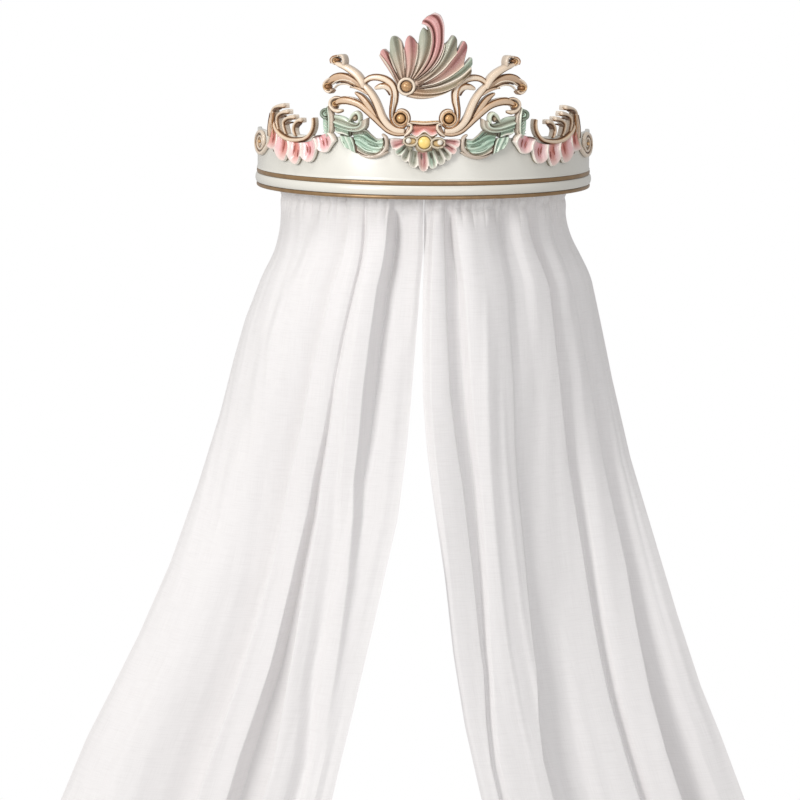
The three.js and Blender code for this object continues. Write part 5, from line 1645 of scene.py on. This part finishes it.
def centre_shell(c):
    crests = [
        [(403.6, 139.4), (398.0, 138.6), (393.6, 138.2), (390.4, 138.6)],
        [(405.0, 144.4), (401.0, 146.8), (397.6, 148.8), (395.0, 149.8)],
        [(407.0, 147.6), (404.6, 151.2), (402.2, 154.2), (400.6, 155.8)],
        [(411.0, 150.2), (410.0, 154.2), (409.0, 158.6), (408.2, 161.8)],
        [(418.2, 152.4), (418.0, 157.0), (418.0, 162.0), (418.4, 166.0)],
        [(427.4, 151.9), (428.0, 157.0), (428.4, 162.0), (428.8, 166.4)],
        [(433.4, 150.2), (435.0, 155.0), (436.8, 160.0), (438.0, 164.0)],
        [(439.2, 147.4), (441.6, 151.8), (444.0, 156.4), (445.8, 159.8)],
        [(442.2, 145.2), (446.2, 148.8), (449.8, 152.2), (452.0, 154.6)],
        [(444.2, 142.6), (449.6, 144.4), (454.0, 146.4), (457.0, 148.4)],
        [(444.8, 139.6), (450.2, 139.2), (455.6, 139.0), (459.2, 139.4)],
    ]
    lobes = [
        (391.0, 146.2), (395.6, 154.4), (402.8, 161.2), (412.4, 167.8), (423.8, 171.8),
        (433.6, 168.8), (442.8, 164.8),
        (450.0, 160.0), (456.0, 153.2), (460.4, 144.4),
    ]
    rose, sage, pale = (ROSE_LIGHT, ROSE_DEEP), (SAGE, SAGE_DEEP), (MINT, SAGE_DEEP)
    tones = [
        rose, pale, sage, sage, (mix(ROSE, MAUVE, 0.4), ROSE_DEEP), pale, sage, sage, rose, rose
    ]
    lines = scallops(crests, lobes, tones)
    # Its walls are painted dark olive: painted shade on the sides of the lobes.
    rails(
        c, lines, HIGH + 0.6, FACE, steps=4, spacing=0.9, end=2.0, side=1.0, lip=(IVORY, 1.5),
        wall=OLIVE * 0.7,
    )
    knob(c, (424.4, 144.6), 9.6, FACE, LOW, mix(OLIVE, TAN, 0.4))
    for line in (
        [(402.6, 141.6), (406.0, 146.6), (412.0, 150.0)],
        [(446.0, 141.6), (442.6, 147.0), (436.0, 150.4)],
    ):
        roll(c, line, [2.2, 2.8, 2.6], LOW + 0.4, mix(OLIVE, SAGE, 0.5), FACE)
    # Dark creases between the petals, near the bow: painted shade
    for (x0, y0), (x1, y1) in (
        ((405.8, 146.4), (401.6, 151.0)), ((410.0, 150.6), (408.4, 156.4)),
        ((416.2, 152.6), (415.6, 159.0)),
        ((421.4, 153.4), (421.2, 160.6)), ((430.4, 152.6), (431.6, 159.4)),
        ((436.4, 150.4), (439.4, 156.6)),
        ((441.0, 147.2), (445.6, 152.6)), ((443.8, 143.8), (449.8, 147.2)),
    ):
        roll(
            c, [(x0, y0), (0.5 * (x0 + x1) + 0.2, 0.5 * (y0 + y1)), (x1, y1)], [0.5, 0.6, 0.2],
            MID - 0.6, SAGE_DEEP * 0.6, FACE, ends=(0.6, 0.8),
        )


def centre_bow(c):
    arm = mix(OLIVE, CREAM, 0.45)
    carve(
        c, round_line((424.3, 142.6), 7.6, 7.6, 16), [1.3, 1.3], plain_look(arm), MID, FACE,
        loop=True, across=11, spacing=0.9,
    )
    for x, y, rx, ry in ((410.6, 141.0, 6.8, 4.7), (438.0, 143.2, 6.8, 4.9)):
        carve(
            c, round_line((x, y), rx, ry, 16), [1.3, 1.3], plain_look(arm, low=0.5), MID + 1, FACE,
            loop=True, across=13, spacing=0.9,
        )
        roll(
            c, [(x - 5.4, y + 0.2), (x, y + 0.4), (x + 5.4, y + 0.2)], [2.4, 3.8, 2.4], LOW + 0.6,
            mix(YELLOW, TAN, 0.6), FACE,
        )


def centre_boss(c):
    knob(c, (424.3, 142.6), 6.1, FACE, BOSS, YELLOW, lathe=40, rings=14)
    carve(
        c, round_line((424.3, 142.6), 5.6, 5.6, 20), [0.9, 0.9], plain_look(mix(YELLOW, TAN, 0.35)),
        LOW + 1.6, FACE, loop=True, across=9, spacing=0.9,
    )


def centre_plaque(c):
    # Painted shade: the middle row darkens towards both ends.
    rails(
        c,
        [
            (
                [(409.8, 124.4), (417, 124.6), (424.5, 124.8), (432, 124.6), (439.0, 124.2)], 0.50,
                CORAL_DEEP * 0.5,
            ),
            (
                [(410.0, 127.0), (416.6, 127.8), (424.5, 126.6), (432.4, 127.6), (438.8, 126.8)],
                0.86, mix(CORAL_DEEP, TAN, 0.3),
            ),
            (
                [(410.2, 129.6), (416.6, 131.4), (424.5, 128.4), (432.4, 131.2), (438.6, 129.2)],
                0.58, [CORAL_DEEP * 0.7, CORAL_DEEP, CORAL, CORAL_DEEP, CORAL_DEEP * 0.7],
            ),
            (
                [(410.6, 131.8), (416.4, 134.6), (424.4, 129.8), (432.0, 134.2), (438.2, 131.6)],
                0.78, mix(CORAL, ROSE_PALE, 0.4),
            ),
            (
                [(410.8, 133.2), (416.6, 136.4), (424.4, 131.4), (431.6, 135.8), (438.0, 133.0)],
                1.08, IVORY,
            ),
            (
                [(411.0, 134.6), (417, 138.0), (424.4, 133.4), (431.4, 137.4), (437.8, 134.4)],
                0.55, mix(OLIVE, GOLD_LIGHT, 0.5),
            ),
            (
                [(411.2, 136.0), (417.2, 139.4), (424.4, 135.4), (431.2, 138.8), (437.6, 135.8)],
                0.40, OLIVE,
            ),
        ],
        MID + 0.6, CREST, steps=6, spacing=0.9, end=0.8,
    )


def centre_top_rail(c):
    carve(
        c, [(409.6, 122.4), (416, 122.9), (424.5, 123.5), (433, 122.9), (440.0, 122.2)],
        [1.5, 1.9, 2.0, 1.9, 1.5],
        scroll_look(CREAM, PEACH, "plain", "line", rim=0.7, width=0.9), HIGH, CREST,
        ends=(1.0, 1.0), across=17, spacing=0.9,
    )
    bead(
        c, [(410.4, 121.0), (417, 121.5), (424.5, 122.0), (432, 121.5), (438.8, 121.0)],
        [0.5, 0.8, 0.9, 0.8, 0.5], HIGH + 0.3, GOLD_LIGHT, 0.7,
    )
    for line in (
        [(405.4, 135.8), (408.6, 131.0), (409.4, 126.2)],
        [(443.2, 136.0), (440.2, 131.2), (439.4, 126.2)],
    ):
        roll(c, line, [2.6, 3.2, 2.2], LOW, mix(TAN, GOLD, 0.3), CREST)
    for curl in (
        [
            (403.8, 136.6), (408.2, 133.0), (411.2, 129.0), (411.0, 125.0), (408.2, 123.8),
            (406.4, 126.6),
        ],
        [
            (445.6, 136.8), (440.6, 133.4), (437.6, 129.2), (437.8, 125.2), (440.6, 123.8),
            (442.4, 126.6),
        ],
    ):
        carve(
            c, curl, [1.3, 1.9, 2.0, 1.8, 1.5, 0.9], scroll_look(CREAM, PEACH, "plain", "plain"),
            HIGH + 0.8, CREST,
            ends=(1.0, 1.0), across=15, spacing=0.9,
        )
    for line in (
        [(405.0, 137.6), (409.8, 134.0), (412.8, 129.6)],
        [(444.6, 137.6), (439.2, 134.4), (436.2, 130.0)],
    ):
        bead(c, line, [0.5, 0.9, 0.6], HIGH - 0.6, UMBER, 0.5)


def crest_pearl(c):
    knob(
        c, (406.4, 86.5), 5.3, 0.6, 6 + 5.3 * PIXEL, mix(GOLD, GOLD_LIGHT, 0.6), 0.6, lathe=40,
        rings=14,
    )


def scroll_pearl(c):
    knob(c, (400.5, 118.4), 4.9, -6.4, 1 + 4.9 * PIXEL, GOLD, 0.9, lathe=36, rings=12)


both("end_volute", end_volute, "cream_lacquer")
both("side_scroll", side_scroll, "cream_lacquer")
both("side_ruffle", side_ruffle, "rose_lacquer")
both("upright_leaf", upright_leaf, "green_lacquer")
both("acanthus_leaf", acanthus_leaf, "green_lacquer")
both("curled_leaf", curled_leaf, "green_lacquer")
both("main_scroll", main_scroll, "antique_gold")
both("inner_scroll", inner_scroll, "cream_lacquer")
both("scroll_pearl", scroll_pearl, "antique_gold", antique_gold)
single("crest_shell", crest_shell, "shell_lacquer")
single("crest_pearl", crest_pearl, "antique_gold")
single("centre_shell", centre_shell, "shell_lacquer")
single("centre_bow", centre_bow, "cream_lacquer")
single("centre_plaque", centre_plaque, "rose_lacquer")
single("centre_top_rail", centre_top_rail, "antique_gold")
single("centre_boss", centre_boss, "yellow_lacquer")


# Drapes
HEADING_Z = -17.0
DROP = 2240.0
HOOK_FIRST, HOOK_LAST = 0.12, 88.2
HEADING, EASE = 75.0, 150.0
FLARE_START, FLARE = 60.0, 800.0
DEPTH_LOW = {"inner": 205.0, "outer": 42.0}
DEPTH_TOP = {"inner": TRACK, "outer": 12.0}
HEM_REACH = {"inner": 440.0, "outer": 1120.0}
HEM_DEPTH = {"inner": 170.0, "outer": 60.0}
HEM_LIFT = 70.0
FOLD_TOP_PIXEL, FOLD_LOW_PIXEL = 196.0, 797.0
CLOTH_WIDTH, CLOTH_LENGTH = 0.86, 2.30
# The mesh's grid, and the small forms in the cloth: their numbers, and places down it in mm
COLUMNS, ROWS = 560, 260
PLEATS, PLEAT_DEPTH = 19.0, 4.0
STREAKS, CRUMPLES = 7, 16
STITCH_TOP, STITCH_LOW, HEM_TURN = 30, 66, 62
WALL_CLEAR = 4
GLIDERS = ("lead", "second", "third", "fourth")

EDGES = {
    ("left", "outer"): [
        (278, 196), (277, 223), (271, 251), (259, 283), (245.5, 318), (234, 358), (220, 413),
        (198, 484),
        (170, 563), (139, 634), (111, 690), (87, 737), (62, 797),
    ],
    ("left", "inner"): [
        (424.1, 196), (423.7, 244), (420.9, 270), (417.5, 310), (410, 378), (402, 449), (392, 520),
        (378, 579), (364, 646),
        (348, 721), (330.5, 797),
    ],
    ("right", "outer"): [
        (568, 196), (574, 219), (584, 251), (594, 299), (610, 378), (629, 457), (653, 536),
        (677, 615),
        (700.5, 686), (720, 734), (744, 799),
    ],
    ("right", "inner"): [
        (424.7, 196), (424.4, 244), (423.6, 280), (423.2, 318), (424.2, 397), (428.4, 450),
        (433.6, 494), (444.5, 575), (453.4, 654),
        (465, 726), (481, 797),
    ],
}

# Folds seen in the photograph, from the inner edge outwards. Each row holds the fold's height
# in mm at four heights of the picture, then its place in pixels at seven
FOLD_HEIGHT_ROWS = (210, 400, 600, 797)
FOLD_PLACE_ROWS = (210, 300, 400, 500, 600, 700, 797)
FOLDS = {
    "left": [
        (-14, -34, -28, -14, 422.6, 418.2, 407.5, 394.8, 373.6, 352.5, 330.5),
        (-10, -31, -26, -12, 416, 412, 400, 387, 366, 346, 325),
        (-18, -26, -21, -12, 403, 402, 392, 379, 360, 341, 321),
        (-24, -24, -17, -8, 398, 391, 381, 364, 351, 335, 317),
        (-34, -29, -13, -5, 393, 382, 370, 357, 348, 332, 314),
        (12, 15, 3, -5, 388, 376, 364, 352, 343, 328, 310),
        (14, 21, 6, -4, 378, 366, 352, 341, 333, 318, 305),
        (12, 18, 2, -10, 373, 361, 347, 336, 323, 305, 297),
        (10, 15, 13, 11, 370, 358, 341, 329, 314, 296, 285),
        (8, 12, 22, 24, 367.6, 355.6, 337.4, 322, 304, 285, 268),
        (0, 5, -15, -42, 365.2, 353.6, 334.8, 318, 300, 281, 263),
        (-1, 5, -15, -38, 363.6, 352.6, 333.8, 314, 292, 266, 236),
        (7, 10, 13, 15, 362, 351.4, 332.6, 312, 288, 262, 230),
        (11, 16, 18, 20, 356, 344, 324, 302, 277, 248, 216),
        (9, 16, 22, 28, 350, 333, 312, 290, 267, 236, 203),
        (-5, -8, -14, -26, 347, 329, 308, 285.6, 261.4, 229.4, 196.4),
        (-6, -8, -15, -28, 344, 326, 305, 282, 257, 223, 189),
        (2, 5, 4, 2, 336, 314, 292, 264, 234, 198, 160),
        (7, 16, 22, 26, 326, 302, 277, 247, 214, 176, 135),
        (7, 18, 27, 34, 318, 292, 262, 232, 197, 158, 112),
        (2, 14, 22, 28, 308, 282, 252, 220, 185, 146, 100),
        (4, 12, 18, 24, 298, 270, 240, 208, 172, 130, 85),
        (3, 7, 11, 14, 286, 260, 231, 199, 162, 115, 71),
        (0, 0, 0, 0, 277.5, 252.5, 223.5, 192.6, 154, 106, 62),
    ],
    "right": [
        (-26, -14, 0, 0, 426.4, 426.9, 428.8, 435, 447.4, 460.7, 481),
        (-24, -10, -1, 0, 433, 430, 431, 437, 449, 462, 483),
        (9, 8, 3, 2, 437, 434, 435, 441, 453, 466, 487),
        (10, 10, 6, 4, 441, 440, 444, 452, 464, 477, 492),
        (6, 8, 8, 7, 446, 447, 452, 463, 474, 487, 497),
        (-15, -10, -6, -3, 449, 451, 457, 468, 478, 489.6, 499.6),
        (-18, -10, -6, -2, 453, 461, 468, 477, 484, 491.4, 502),
        (12, 15, 14, 9, 457, 466, 473.6, 482, 488, 496, 507),
        (18, 23, 20, 16, 466, 478, 487, 495, 502, 513, 522),
        (14, 18, 18, 18, 480, 492, 500, 508, 516, 527, 536),
        (6, 14, 15, 20, 494, 505, 512, 516, 526, 539, 549),
        (2, 10, 5, -26, 500, 509, 515, 520, 530, 544, 555),
        (-7, 6, 2, -28, 508, 516, 524, 530, 541, 556, 568),
        (-5, 6, 1, -20, 514, 524, 534, 544, 556, 572, 590),
        (6, 8, 2, -8, 522, 534, 546, 557, 570, 585, 606),
        (7, 10, 6, 1, 527, 547, 559, 573, 590, 610, 637),
        (-18, -14, -14, -20, 534, 552, 564, 579, 596, 616, 643),
        (2, 3, 4, 4, 541, 559, 575, 589, 605, 624, 650),
        (6, 9, 10, 13, 548, 566, 582, 598, 616, 636, 662),
        (5, 7, 13, 20, 553, 571, 590, 609, 632, 652, 677),
        (-8, -9, -15, -44, 556, 575, 594, 613, 636, 657, 683),
        (-3, -4, -8, -22, 560, 580, 601, 622, 645, 671, 700),
        (3, 3, 3, 2, 565, 586, 608, 631, 657, 687, 719),
        (2, 3, 3, 3, 571.4, 594.2, 615, 642, 672.6, 706, 743.4),
    ],
}
# Short dents under the rim: place in pixels at the rim, half width, depth and run in mm
DENTS = {
    "left": [
        (285, 2.6, 6, 60), (293, 2.4, 5, 40), (303, 3.0, -4, 80), (313, 5.0, 9, 130),
        (326, 2.6, 6, 45), (332, 2.4, -4, 60),
        (341, 4.2, 11, 70), (351, 2.2, -4, 60), (357, 2.6, 3, 60), (381, 4.0, -4, 70),
        (408, 4.5, 7, 90), (416, 3, -3, 60),
    ],
    "right": [
        (443, 3.0, -4, 60), (463, 3.0, 5, 50), (471, 3.4, 6, 60), (479, 2.8, 7, 60),
        (487, 3.2, -5, 70), (497, 3.0, 5, 60),
        (508, 5.0, 9, 120), (519, 3.0, 8, 50), (523, 2.4, -5, 60), (546, 3.4, -6, 80),
        (560, 4.6, 9, 80), (566, 2.6, -4, 60),
    ],
}


def edge_line(side, kind):
    """Height, x and y of a drape's edge, from the photograph down to the hem."""
    sign = -1 if side == "left" else 1
    rows = []
    for pixel in EDGES[side, kind]:
        share = (pixel[1] - FOLD_TOP_PIXEL) / (FOLD_LOW_PIXEL - FOLD_TOP_PIXEL)
        depth = mix(DEPTH_TOP[kind], DEPTH_LOW[kind], float(smooth(share)))
        x, z = on_plane([pixel], depth)
        rows.append((float(z[0]), float(x[0]), -depth))
    rows.append((HEADING_Z - DROP, sign * HEM_REACH[kind], -HEM_DEPTH[kind]))
    return np.array(rows)


def edge_at(table, z):
    x = np.interp(-z, -table[:, 0], table[:, 1])
    y = np.interp(-z, -table[:, 0], table[:, 2])
    return x, y


def drape_base(side, inner, outer, angle, drop):
    """Where the cloth hangs before its folds: on the track's arc, then opened out."""
    sign = -1 if side == "left" else 1
    z = HEADING_Z - drop
    across = (angle - HOOK_FIRST) / (HOOK_LAST - HOOK_FIRST)
    flat = smooth((drop - FLARE_START) / FLARE)
    reach = mix(np.sin(across * np.pi / 2), across, flat)
    depth = mix(1 - np.cos(across * np.pi / 2), across, flat)
    (ax, ay), (bx, by) = edge_at(inner, z), edge_at(outer, z)
    turn = np.radians(angle)
    ease = smooth((drop - HEADING) / EASE)
    x = mix(sign * TRACK * np.sin(turn), mix(ax, bx, reach), ease)
    y = mix(-TRACK * np.cos(turn), mix(ay, by, depth), ease)
    return x, y, reach


def fold_profile(side, reach, pixel_y):
    """Height of the main folds, from their places in the photograph."""
    y = np.clip(pixel_y, FOLD_PLACE_ROWS[0], FOLD_PLACE_ROWS[-1])
    table = FOLDS[side]
    rows = [np.interp(y, FOLD_PLACE_ROWS, row[4:]) for row in table]
    heights = [np.interp(y, FOLD_HEIGHT_ROWS, row[:4]) for row in table]
    places = [(x - rows[0]) / (rows[-1] - rows[0]) for x in rows]
    for i in range(1, len(places)):
        places[i] = np.maximum(places[i], places[i - 1] + 0.003)
    gaps = [b - a for a, b in zip(places[:-1], places[1:])]
    rises = [(b - a) / gap for a, b, gap in zip(heights[:-1], heights[1:], gaps)]
    slopes = [np.zeros_like(reach)]
    for a, b in zip(rises[:-1], rises[1:]):
        slopes.append(np.where(a * b > 0, 2 * a * b / np.where(a * b > 0, a + b, 1), 0))
    slopes.append(rises[-1])
    out = np.zeros_like(reach)
    for i, gap in enumerate(gaps):
        t = np.clip((reach - places[i]) / gap, 0, 1)
        inside = (reach >= places[i]) & (reach < places[i + 1])
        bend = t * t * (3 - 2 * t)
        lean = gap * (t * (1 - t) ** 2 * slopes[i] - t * t * (1 - t) * slopes[i + 1])
        out = np.where(inside, mix(heights[i], heights[i + 1], bend) + lean, out)
    return np.where(reach >= places[-1], heights[-1], out)


def dents(side, reach, drop):
    first, last = FOLDS[side][0][4], FOLDS[side][-1][4]
    out = np.zeros_like(reach)
    for x, width, depth, run in DENTS[side]:
        place, spread_out = (x - first) / (last - first), width / abs(last - first)
        along = 1 - smooth((drop - 45) / run)
        wander = 0.10 * spread_out * (drop - 45) / run
        out -= depth * along * np.exp(
            -(((reach - place - wander) / (spread_out * (1 + 0.6 * (1 - along)))) ** 2)
        )
    return out


def drape(side):
    sign = -1 if side == "left" else 1
    rng = np.random.default_rng(7 if side == "left" else 11)
    inner, outer = edge_line(side, "inner"), edge_line(side, "outer")
    angles = np.linspace(HOOK_FIRST, HOOK_LAST, COLUMNS)
    shares = np.linspace(0, 1, ROWS) ** 1.35
    angle, share = np.meshgrid(angles, shares)
    across = (angle - HOOK_FIRST) / (HOOK_LAST - HOOK_FIRST)
    drop = share * (DROP - HEM_LIFT * (angle / 90) ** 2)
    x, y, reach = drape_base(side, inner, outer, angle, drop)
    x0, y0, _ = drape_base(side, inner, outer, angle - 0.4, drop)
    x1, y1, _ = drape_base(side, inner, outer, angle + 0.4, drop)
    length = np.hypot(x1 - x0, y1 - y0)
    nx, ny = sign * (y1 - y0) / length, -sign * (x1 - x0) / length
    pixel_y = FOLD_TOP_PIXEL + (drop - 30.0) / PIXEL * 0.985
    # Pencil pleats of the heading, behind the band
    phase = PLEATS * across + 0.22 * np.sin(2 * np.pi * (2.3 * across + 0.1))
    phase += 0.15 * np.sin(2 * np.pi * 5.1 * across)
    fade = 1 - smooth((drop - 40) / 70)
    pleats = (np.abs(np.sin(np.pi * phase)) ** 0.8 * 2 - 1.1) * PLEAT_DEPTH * fade
    # Softer streaks
    streaks = np.zeros_like(drop)
    for k in range(STREAKS):
        place, width = rng.uniform(0.03, 0.97), rng.uniform(0.012, 0.028)
        lean, start, run = rng.uniform(-0.03, 0.03), rng.uniform(0, 500), rng.uniform(380, 1200)
        size = rng.uniform(0.6, 1.6) * rng.choice([-1, 1])
        along = smooth((drop - start) / 140) * (1 - smooth((drop - start - run) / 400))
        streaks += size * along * np.exp(-(((across - place - lean * drop / 1000) / width) ** 2))
    # Faint crumples
    crumple = np.zeros_like(drop)
    for k in range(CRUMPLES):
        a, b, c = rng.uniform(4, 15), rng.uniform(2, 11), rng.uniform(0, 2 * np.pi)
        crumple += rng.uniform(0.08, 0.24) * np.sin(a * across * 2 * np.pi + b * drop / 700 + c)
    main = fold_profile(side, reach, pixel_y) * smooth((drop - 5) / 120)
    more = 1 + 0.25 * smooth((drop - 1100) / 1000)
    lean = main * more + pleats + dents(side, reach, drop) * smooth(drop / 50)
    lean = lean + streaks * smooth(drop / 90) + crumple * smooth(drop / 60)
    # The stitched line of the heading tape
    tape = np.exp(-(((drop - STITCH_LOW) / 4.0) ** 2))
    tape += 0.6 * np.exp(-(((drop - STITCH_TOP) / 3.5) ** 2))
    lean = lean * (1 - 0.45 * np.exp(-(((drop - STITCH_LOW) / 9.0) ** 2))) - 1.6 * tape
    # The sewn edge of the hem
    hem = np.exp(-(((share * DROP - (DROP - HEM_TURN)) / 5.0) ** 2))
    lean = lean - 1.3 * hem
    keep = smooth(drop / 25 + 0.4)
    lean = lean * keep
    px, py, pz = x + nx * lean, y + ny * lean, HEADING_Z - drop
    points = np.stack([px, py, pz], -1) * MM
    points[..., 1] = np.minimum(points[..., 1], -WALL_CLEAR * MM)
    index = np.arange(ROWS * COLUMNS).reshape(ROWS, COLUMNS)
    a, b, c, d = index[:-1, :-1], index[1:, :-1], index[1:, 1:], index[:-1, 1:]
    faces = np.stack([a, b, c, d], -1).reshape(-1, 4)
    if sign < 0:
        faces = faces[:, ::-1]
    mesh = bpy.data.meshes.new(f"{side}_drape_cloth")
    mesh.from_pydata(points.reshape(-1, 3).tolist(), [], faces.tolist())
    uv = mesh.uv_layers.new(name="cloth")
    flat = np.stack([across * CLOTH_WIDTH, (1 - share) * CLOTH_LENGTH], -1).reshape(-1, 2)
    loops = np.empty(len(mesh.loops), np.int32)
    mesh.loops.foreach_get("vertex_index", loops)
    uv.data.foreach_set("uv", flat[loops].astype(np.float32).ravel())
    mesh.polygons.foreach_set("use_smooth", [True] * len(mesh.polygons))
    piece = put(f"{side}_drape_cloth", mesh, muslin)
    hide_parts(f"{side}_drape")
    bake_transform(piece)

def muslin_material():
    """White cotton muslin: a fine plain weave, a soft sheen and some light through it."""
    material, tree, shader = node_material("muslin")
    uv = add_node(tree, "ShaderNodeUVMap", uv_map="cloth").outputs[0]
    cloud = ramp(tree, noise(tree, 3.2, 3), 0.3, 0.7, 0, 0.35)
    tone = blend_colour(tree, cloud, colour(243, 241, 241), colour(235, 233, 233))
    # Uneven yarns, along and across
    for stretch in ((520, 14, 1), (14, 520, 1)):
        mapped = add_node(tree, "ShaderNodeMapping", Scale=stretch, Vector=uv)
        slub = add_node(tree, "ShaderNodeTexNoise", Scale=1.0, Detail=2.0, Vector=mapped.outputs[0])
        tone = blend_colour(
            tree, ramp(tree, slub.outputs["Fac"], 0.45, 0.8, 0, 0.26), tone, colour(212, 209, 209)
        )
    fill(tree, shader, Base_Color=tone, Roughness=0.82, Sheen_Weight=0.25, Sheen_Roughness=0.5)
    threads = []
    for turn in (0.0, math.pi / 2):
        wave = add_node(tree, "ShaderNodeTexWave")
        wave.wave_type = "BANDS"
        wave.bands_direction = "X" if turn == 0 else "Y"
        fill(tree, wave, Scale=300, Distortion=1.2, Detail=2, Detail_Scale=2.0, Vector=uv)
        threads.append(wave.outputs["Fac"])
    weave = calculate(tree, "ADD", threads[0], threads[1])
    fibre = noise(tree, 700, 3)
    bump(tree, shader, calculate(tree, "ADD", weave, fibre), 0.00025, 0.35)
    through = add_node(tree, "ShaderNodeBsdfTranslucent", Color=(*colour(240, 238, 238), 1))
    both_ways = add_node(tree, "ShaderNodeMixShader")
    both_ways.inputs[0].default_value = 0.22
    out = next(n for n in tree.nodes if n.type == "OUTPUT_MATERIAL")
    tree.links.new(shader.outputs[0], both_ways.inputs[1])
    tree.links.new(through.outputs[0], both_ways.inputs[2])
    tree.links.new(both_ways.outputs[0], out.inputs[0])
    return material


muslin = muslin_material()
for side in ("left", "right"):
    drape(side)


# Hidden frame, track and hardware keep their solids and get their finishes
def wood_material():
    """Pale pine with long grain."""
    material, tree, shader = node_material("pale_wood")
    place = add_node(tree, "ShaderNodeMapping", Scale=(3, 40, 40), Vector=object_point(tree))
    grain = add_node(tree, "ShaderNodeTexNoise", Scale=4, Detail=6, Vector=place.outputs[0])
    tone = blend_colour(
        tree, ramp(tree, grain.outputs["Fac"], 0.35, 0.65), colour(222, 190, 146),
        colour(188, 148, 100),
    )
    fill(tree, shader, Base_Color=tone, Roughness=0.55)
    bump(tree, shader, grain.outputs["Fac"], 0.0004, 0.4)
    return material


def metal_material(name, base, rough):
    material, tree, shader = node_material(name)
    tone = blend_colour(
        tree, ramp(tree, noise(tree, 60, 4), 0.35, 0.7), base, np.array(base) * 0.75
    )
    fill(
        tree, shader, Base_Color=tone, Metallic=1.0,
        Roughness=ramp(tree, noise(tree, 200, 3), 0.3, 0.7, rough, rough + 0.14),
    )
    bump(tree, shader, noise(tree, 500, 2), 0.0001, 0.3)
    return material


def nylon_material():
    material, tree, shader = node_material("white_nylon")
    tone = blend_colour(
        tree, ramp(tree, noise(tree, 50, 2), 0.3, 0.7), colour(240, 240, 236), colour(228, 228, 222)
    )
    fill(
        tree, shader, Base_Color=tone, Roughness=0.42, Subsurface_Weight=0.1,
        Subsurface_Radius=(0.002, 0.002, 0.002),
    )
    bump(tree, shader, noise(tree, 400, 2), 0.0001, 0.3)
    return material


def pearl_material():
    material, tree, shader = node_material("pearl_lacquer")
    tone = blend_colour(
        tree, ramp(tree, noise(tree, 60, 3), 0.35, 0.7), colour(236, 232, 222),
        colour(214, 204, 188),
    )
    fill(tree, shader, Base_Color=tone, Roughness=0.2, Coat_Weight=0.5)
    bump(tree, shader, noise(tree, 300, 2), 0.0002, 0.3)
    return material


finishes = {
    "pale_wood": wood_material(),
    "zinc_steel": metal_material("zinc_steel", colour(196, 198, 200), 0.3),
    "track_aluminium": metal_material("track_aluminium", colour(214, 215, 218), 0.28),
    "white_nylon": nylon_material(),
    "pearl_lacquer": pearl_material(),
}
hidden = {
    "pale_wood": ["back_rail", "end_block_left", "end_block_right"],
    "zinc_steel": [
        "keyhole_plate_left", "keyhole_plate_right", "rail_screw_left", "rail_screw_right",
        "block_screw_left",
        "block_screw_right", "track_bracket_left", "track_bracket_middle", "track_bracket_right",
        "bracket_screw_left", "bracket_screw_middle", "bracket_screw_right",
    ],
    "track_aluminium": ["curtain_track"],
    "white_nylon": [f"{s}_glider_{n}" for s in ("left", "right") for n in GLIDERS]
    + ["left_end_hook", "right_end_hook"],
    "pearl_lacquer": ["centre_pearl_left", "centre_pearl_right"],
}
for slot, names in hidden.items():
    for name in names:
        piece = nodes[name]
        for place in piece.material_slots:
            place.material = finishes[slot]


# Floor, light and camera
def flat_material(name, base):
    material, tree, shader = node_material(name)
    fill(tree, shader, Base_Color=(*base, 1), Roughness=0.9)
    return material


def floor():
    half, front, behind, z = 2.4, -2.4, 1.6, FLOOR_Z * MM
    mesh = bpy.data.meshes.new("floor")
    corners = [(-half, front, z), (half, front, z), (half, behind, z), (-half, behind, z)]
    mesh.from_pydata(corners, [], [(0, 1, 2, 3)])
    put("floor", mesh, flat_material("floor_white", (0.9, 0.9, 0.9)))


def area_light(name, place, aim, size, power, tone=(1, 1, 1)):
    light = bpy.data.lights.new(name, "AREA")
    light.shape = "RECTANGLE"
    light.size, light.size_y = size
    light.energy, light.color = power, tone
    lamp = bpy.data.objects.new(name, light)
    bpy.context.scene.collection.objects.link(lamp)
    lamp.location = place
    lamp.rotation_euler = (Vector(aim) - Vector(place)).to_track_quat("-Z", "Y").to_euler()


def world():
    made = bpy.data.worlds.new("studio")
    bpy.context.scene.world = made
    made.use_nodes = True
    tree = made.node_tree
    tree.nodes.clear()
    out = tree.nodes.new("ShaderNodeOutputWorld")
    seen, soft = tree.nodes.new("ShaderNodeBackground"), tree.nodes.new("ShaderNodeBackground")
    fill(tree, seen, Color=(1, 1, 1, 1), Strength=1.0)
    fill(tree, soft, Color=(1.0, 0.99, 0.985, 1), Strength=0.53)
    path = tree.nodes.new("ShaderNodeLightPath")
    mixed = tree.nodes.new("ShaderNodeMixShader")
    tree.links.new(path.outputs["Is Camera Ray"], mixed.inputs[0])
    tree.links.new(soft.outputs[0], mixed.inputs[1])
    tree.links.new(seen.outputs[0], mixed.inputs[2])
    tree.links.new(mixed.outputs[0], out.inputs[0])


floor()
world()
area_light("key", (-3.3, -4.0, 1.4), (0, -0.2, -0.6), (1.6, 2.0), 165, (1.0, 0.985, 0.965))
area_light("fill", (1.6, -4.2, 0.6), (0, -0.2, -0.5), (2.0, 2.0), 30, (0.97, 0.98, 1.0))
area_light("top", (-0.6, -1.6, 2.8), (0, -0.2, 0), (1.6, 1.0), 26)

lens = bpy.data.cameras.new("photo_camera")
lens.lens, lens.sensor_width, lens.clip_end = LENS, SENSOR, CLIP_END
camera = bpy.data.objects.new("photo_camera", lens)
bpy.context.scene.collection.objects.link(camera)
camera.matrix_world = (
    Matrix.Translation((VIEW_X * MM, -VIEW_DISTANCE * MM, VIEW_Z * MM))
    @ Matrix.Rotation(math.pi / 2 - VIEW_TILT, 4, "X")
    @ Matrix.Rotation(VIEW_ROLL, 4, "Z")
)
bpy.context.scene.camera = camera
bpy.context.scene.view_settings.view_transform = "Standard"
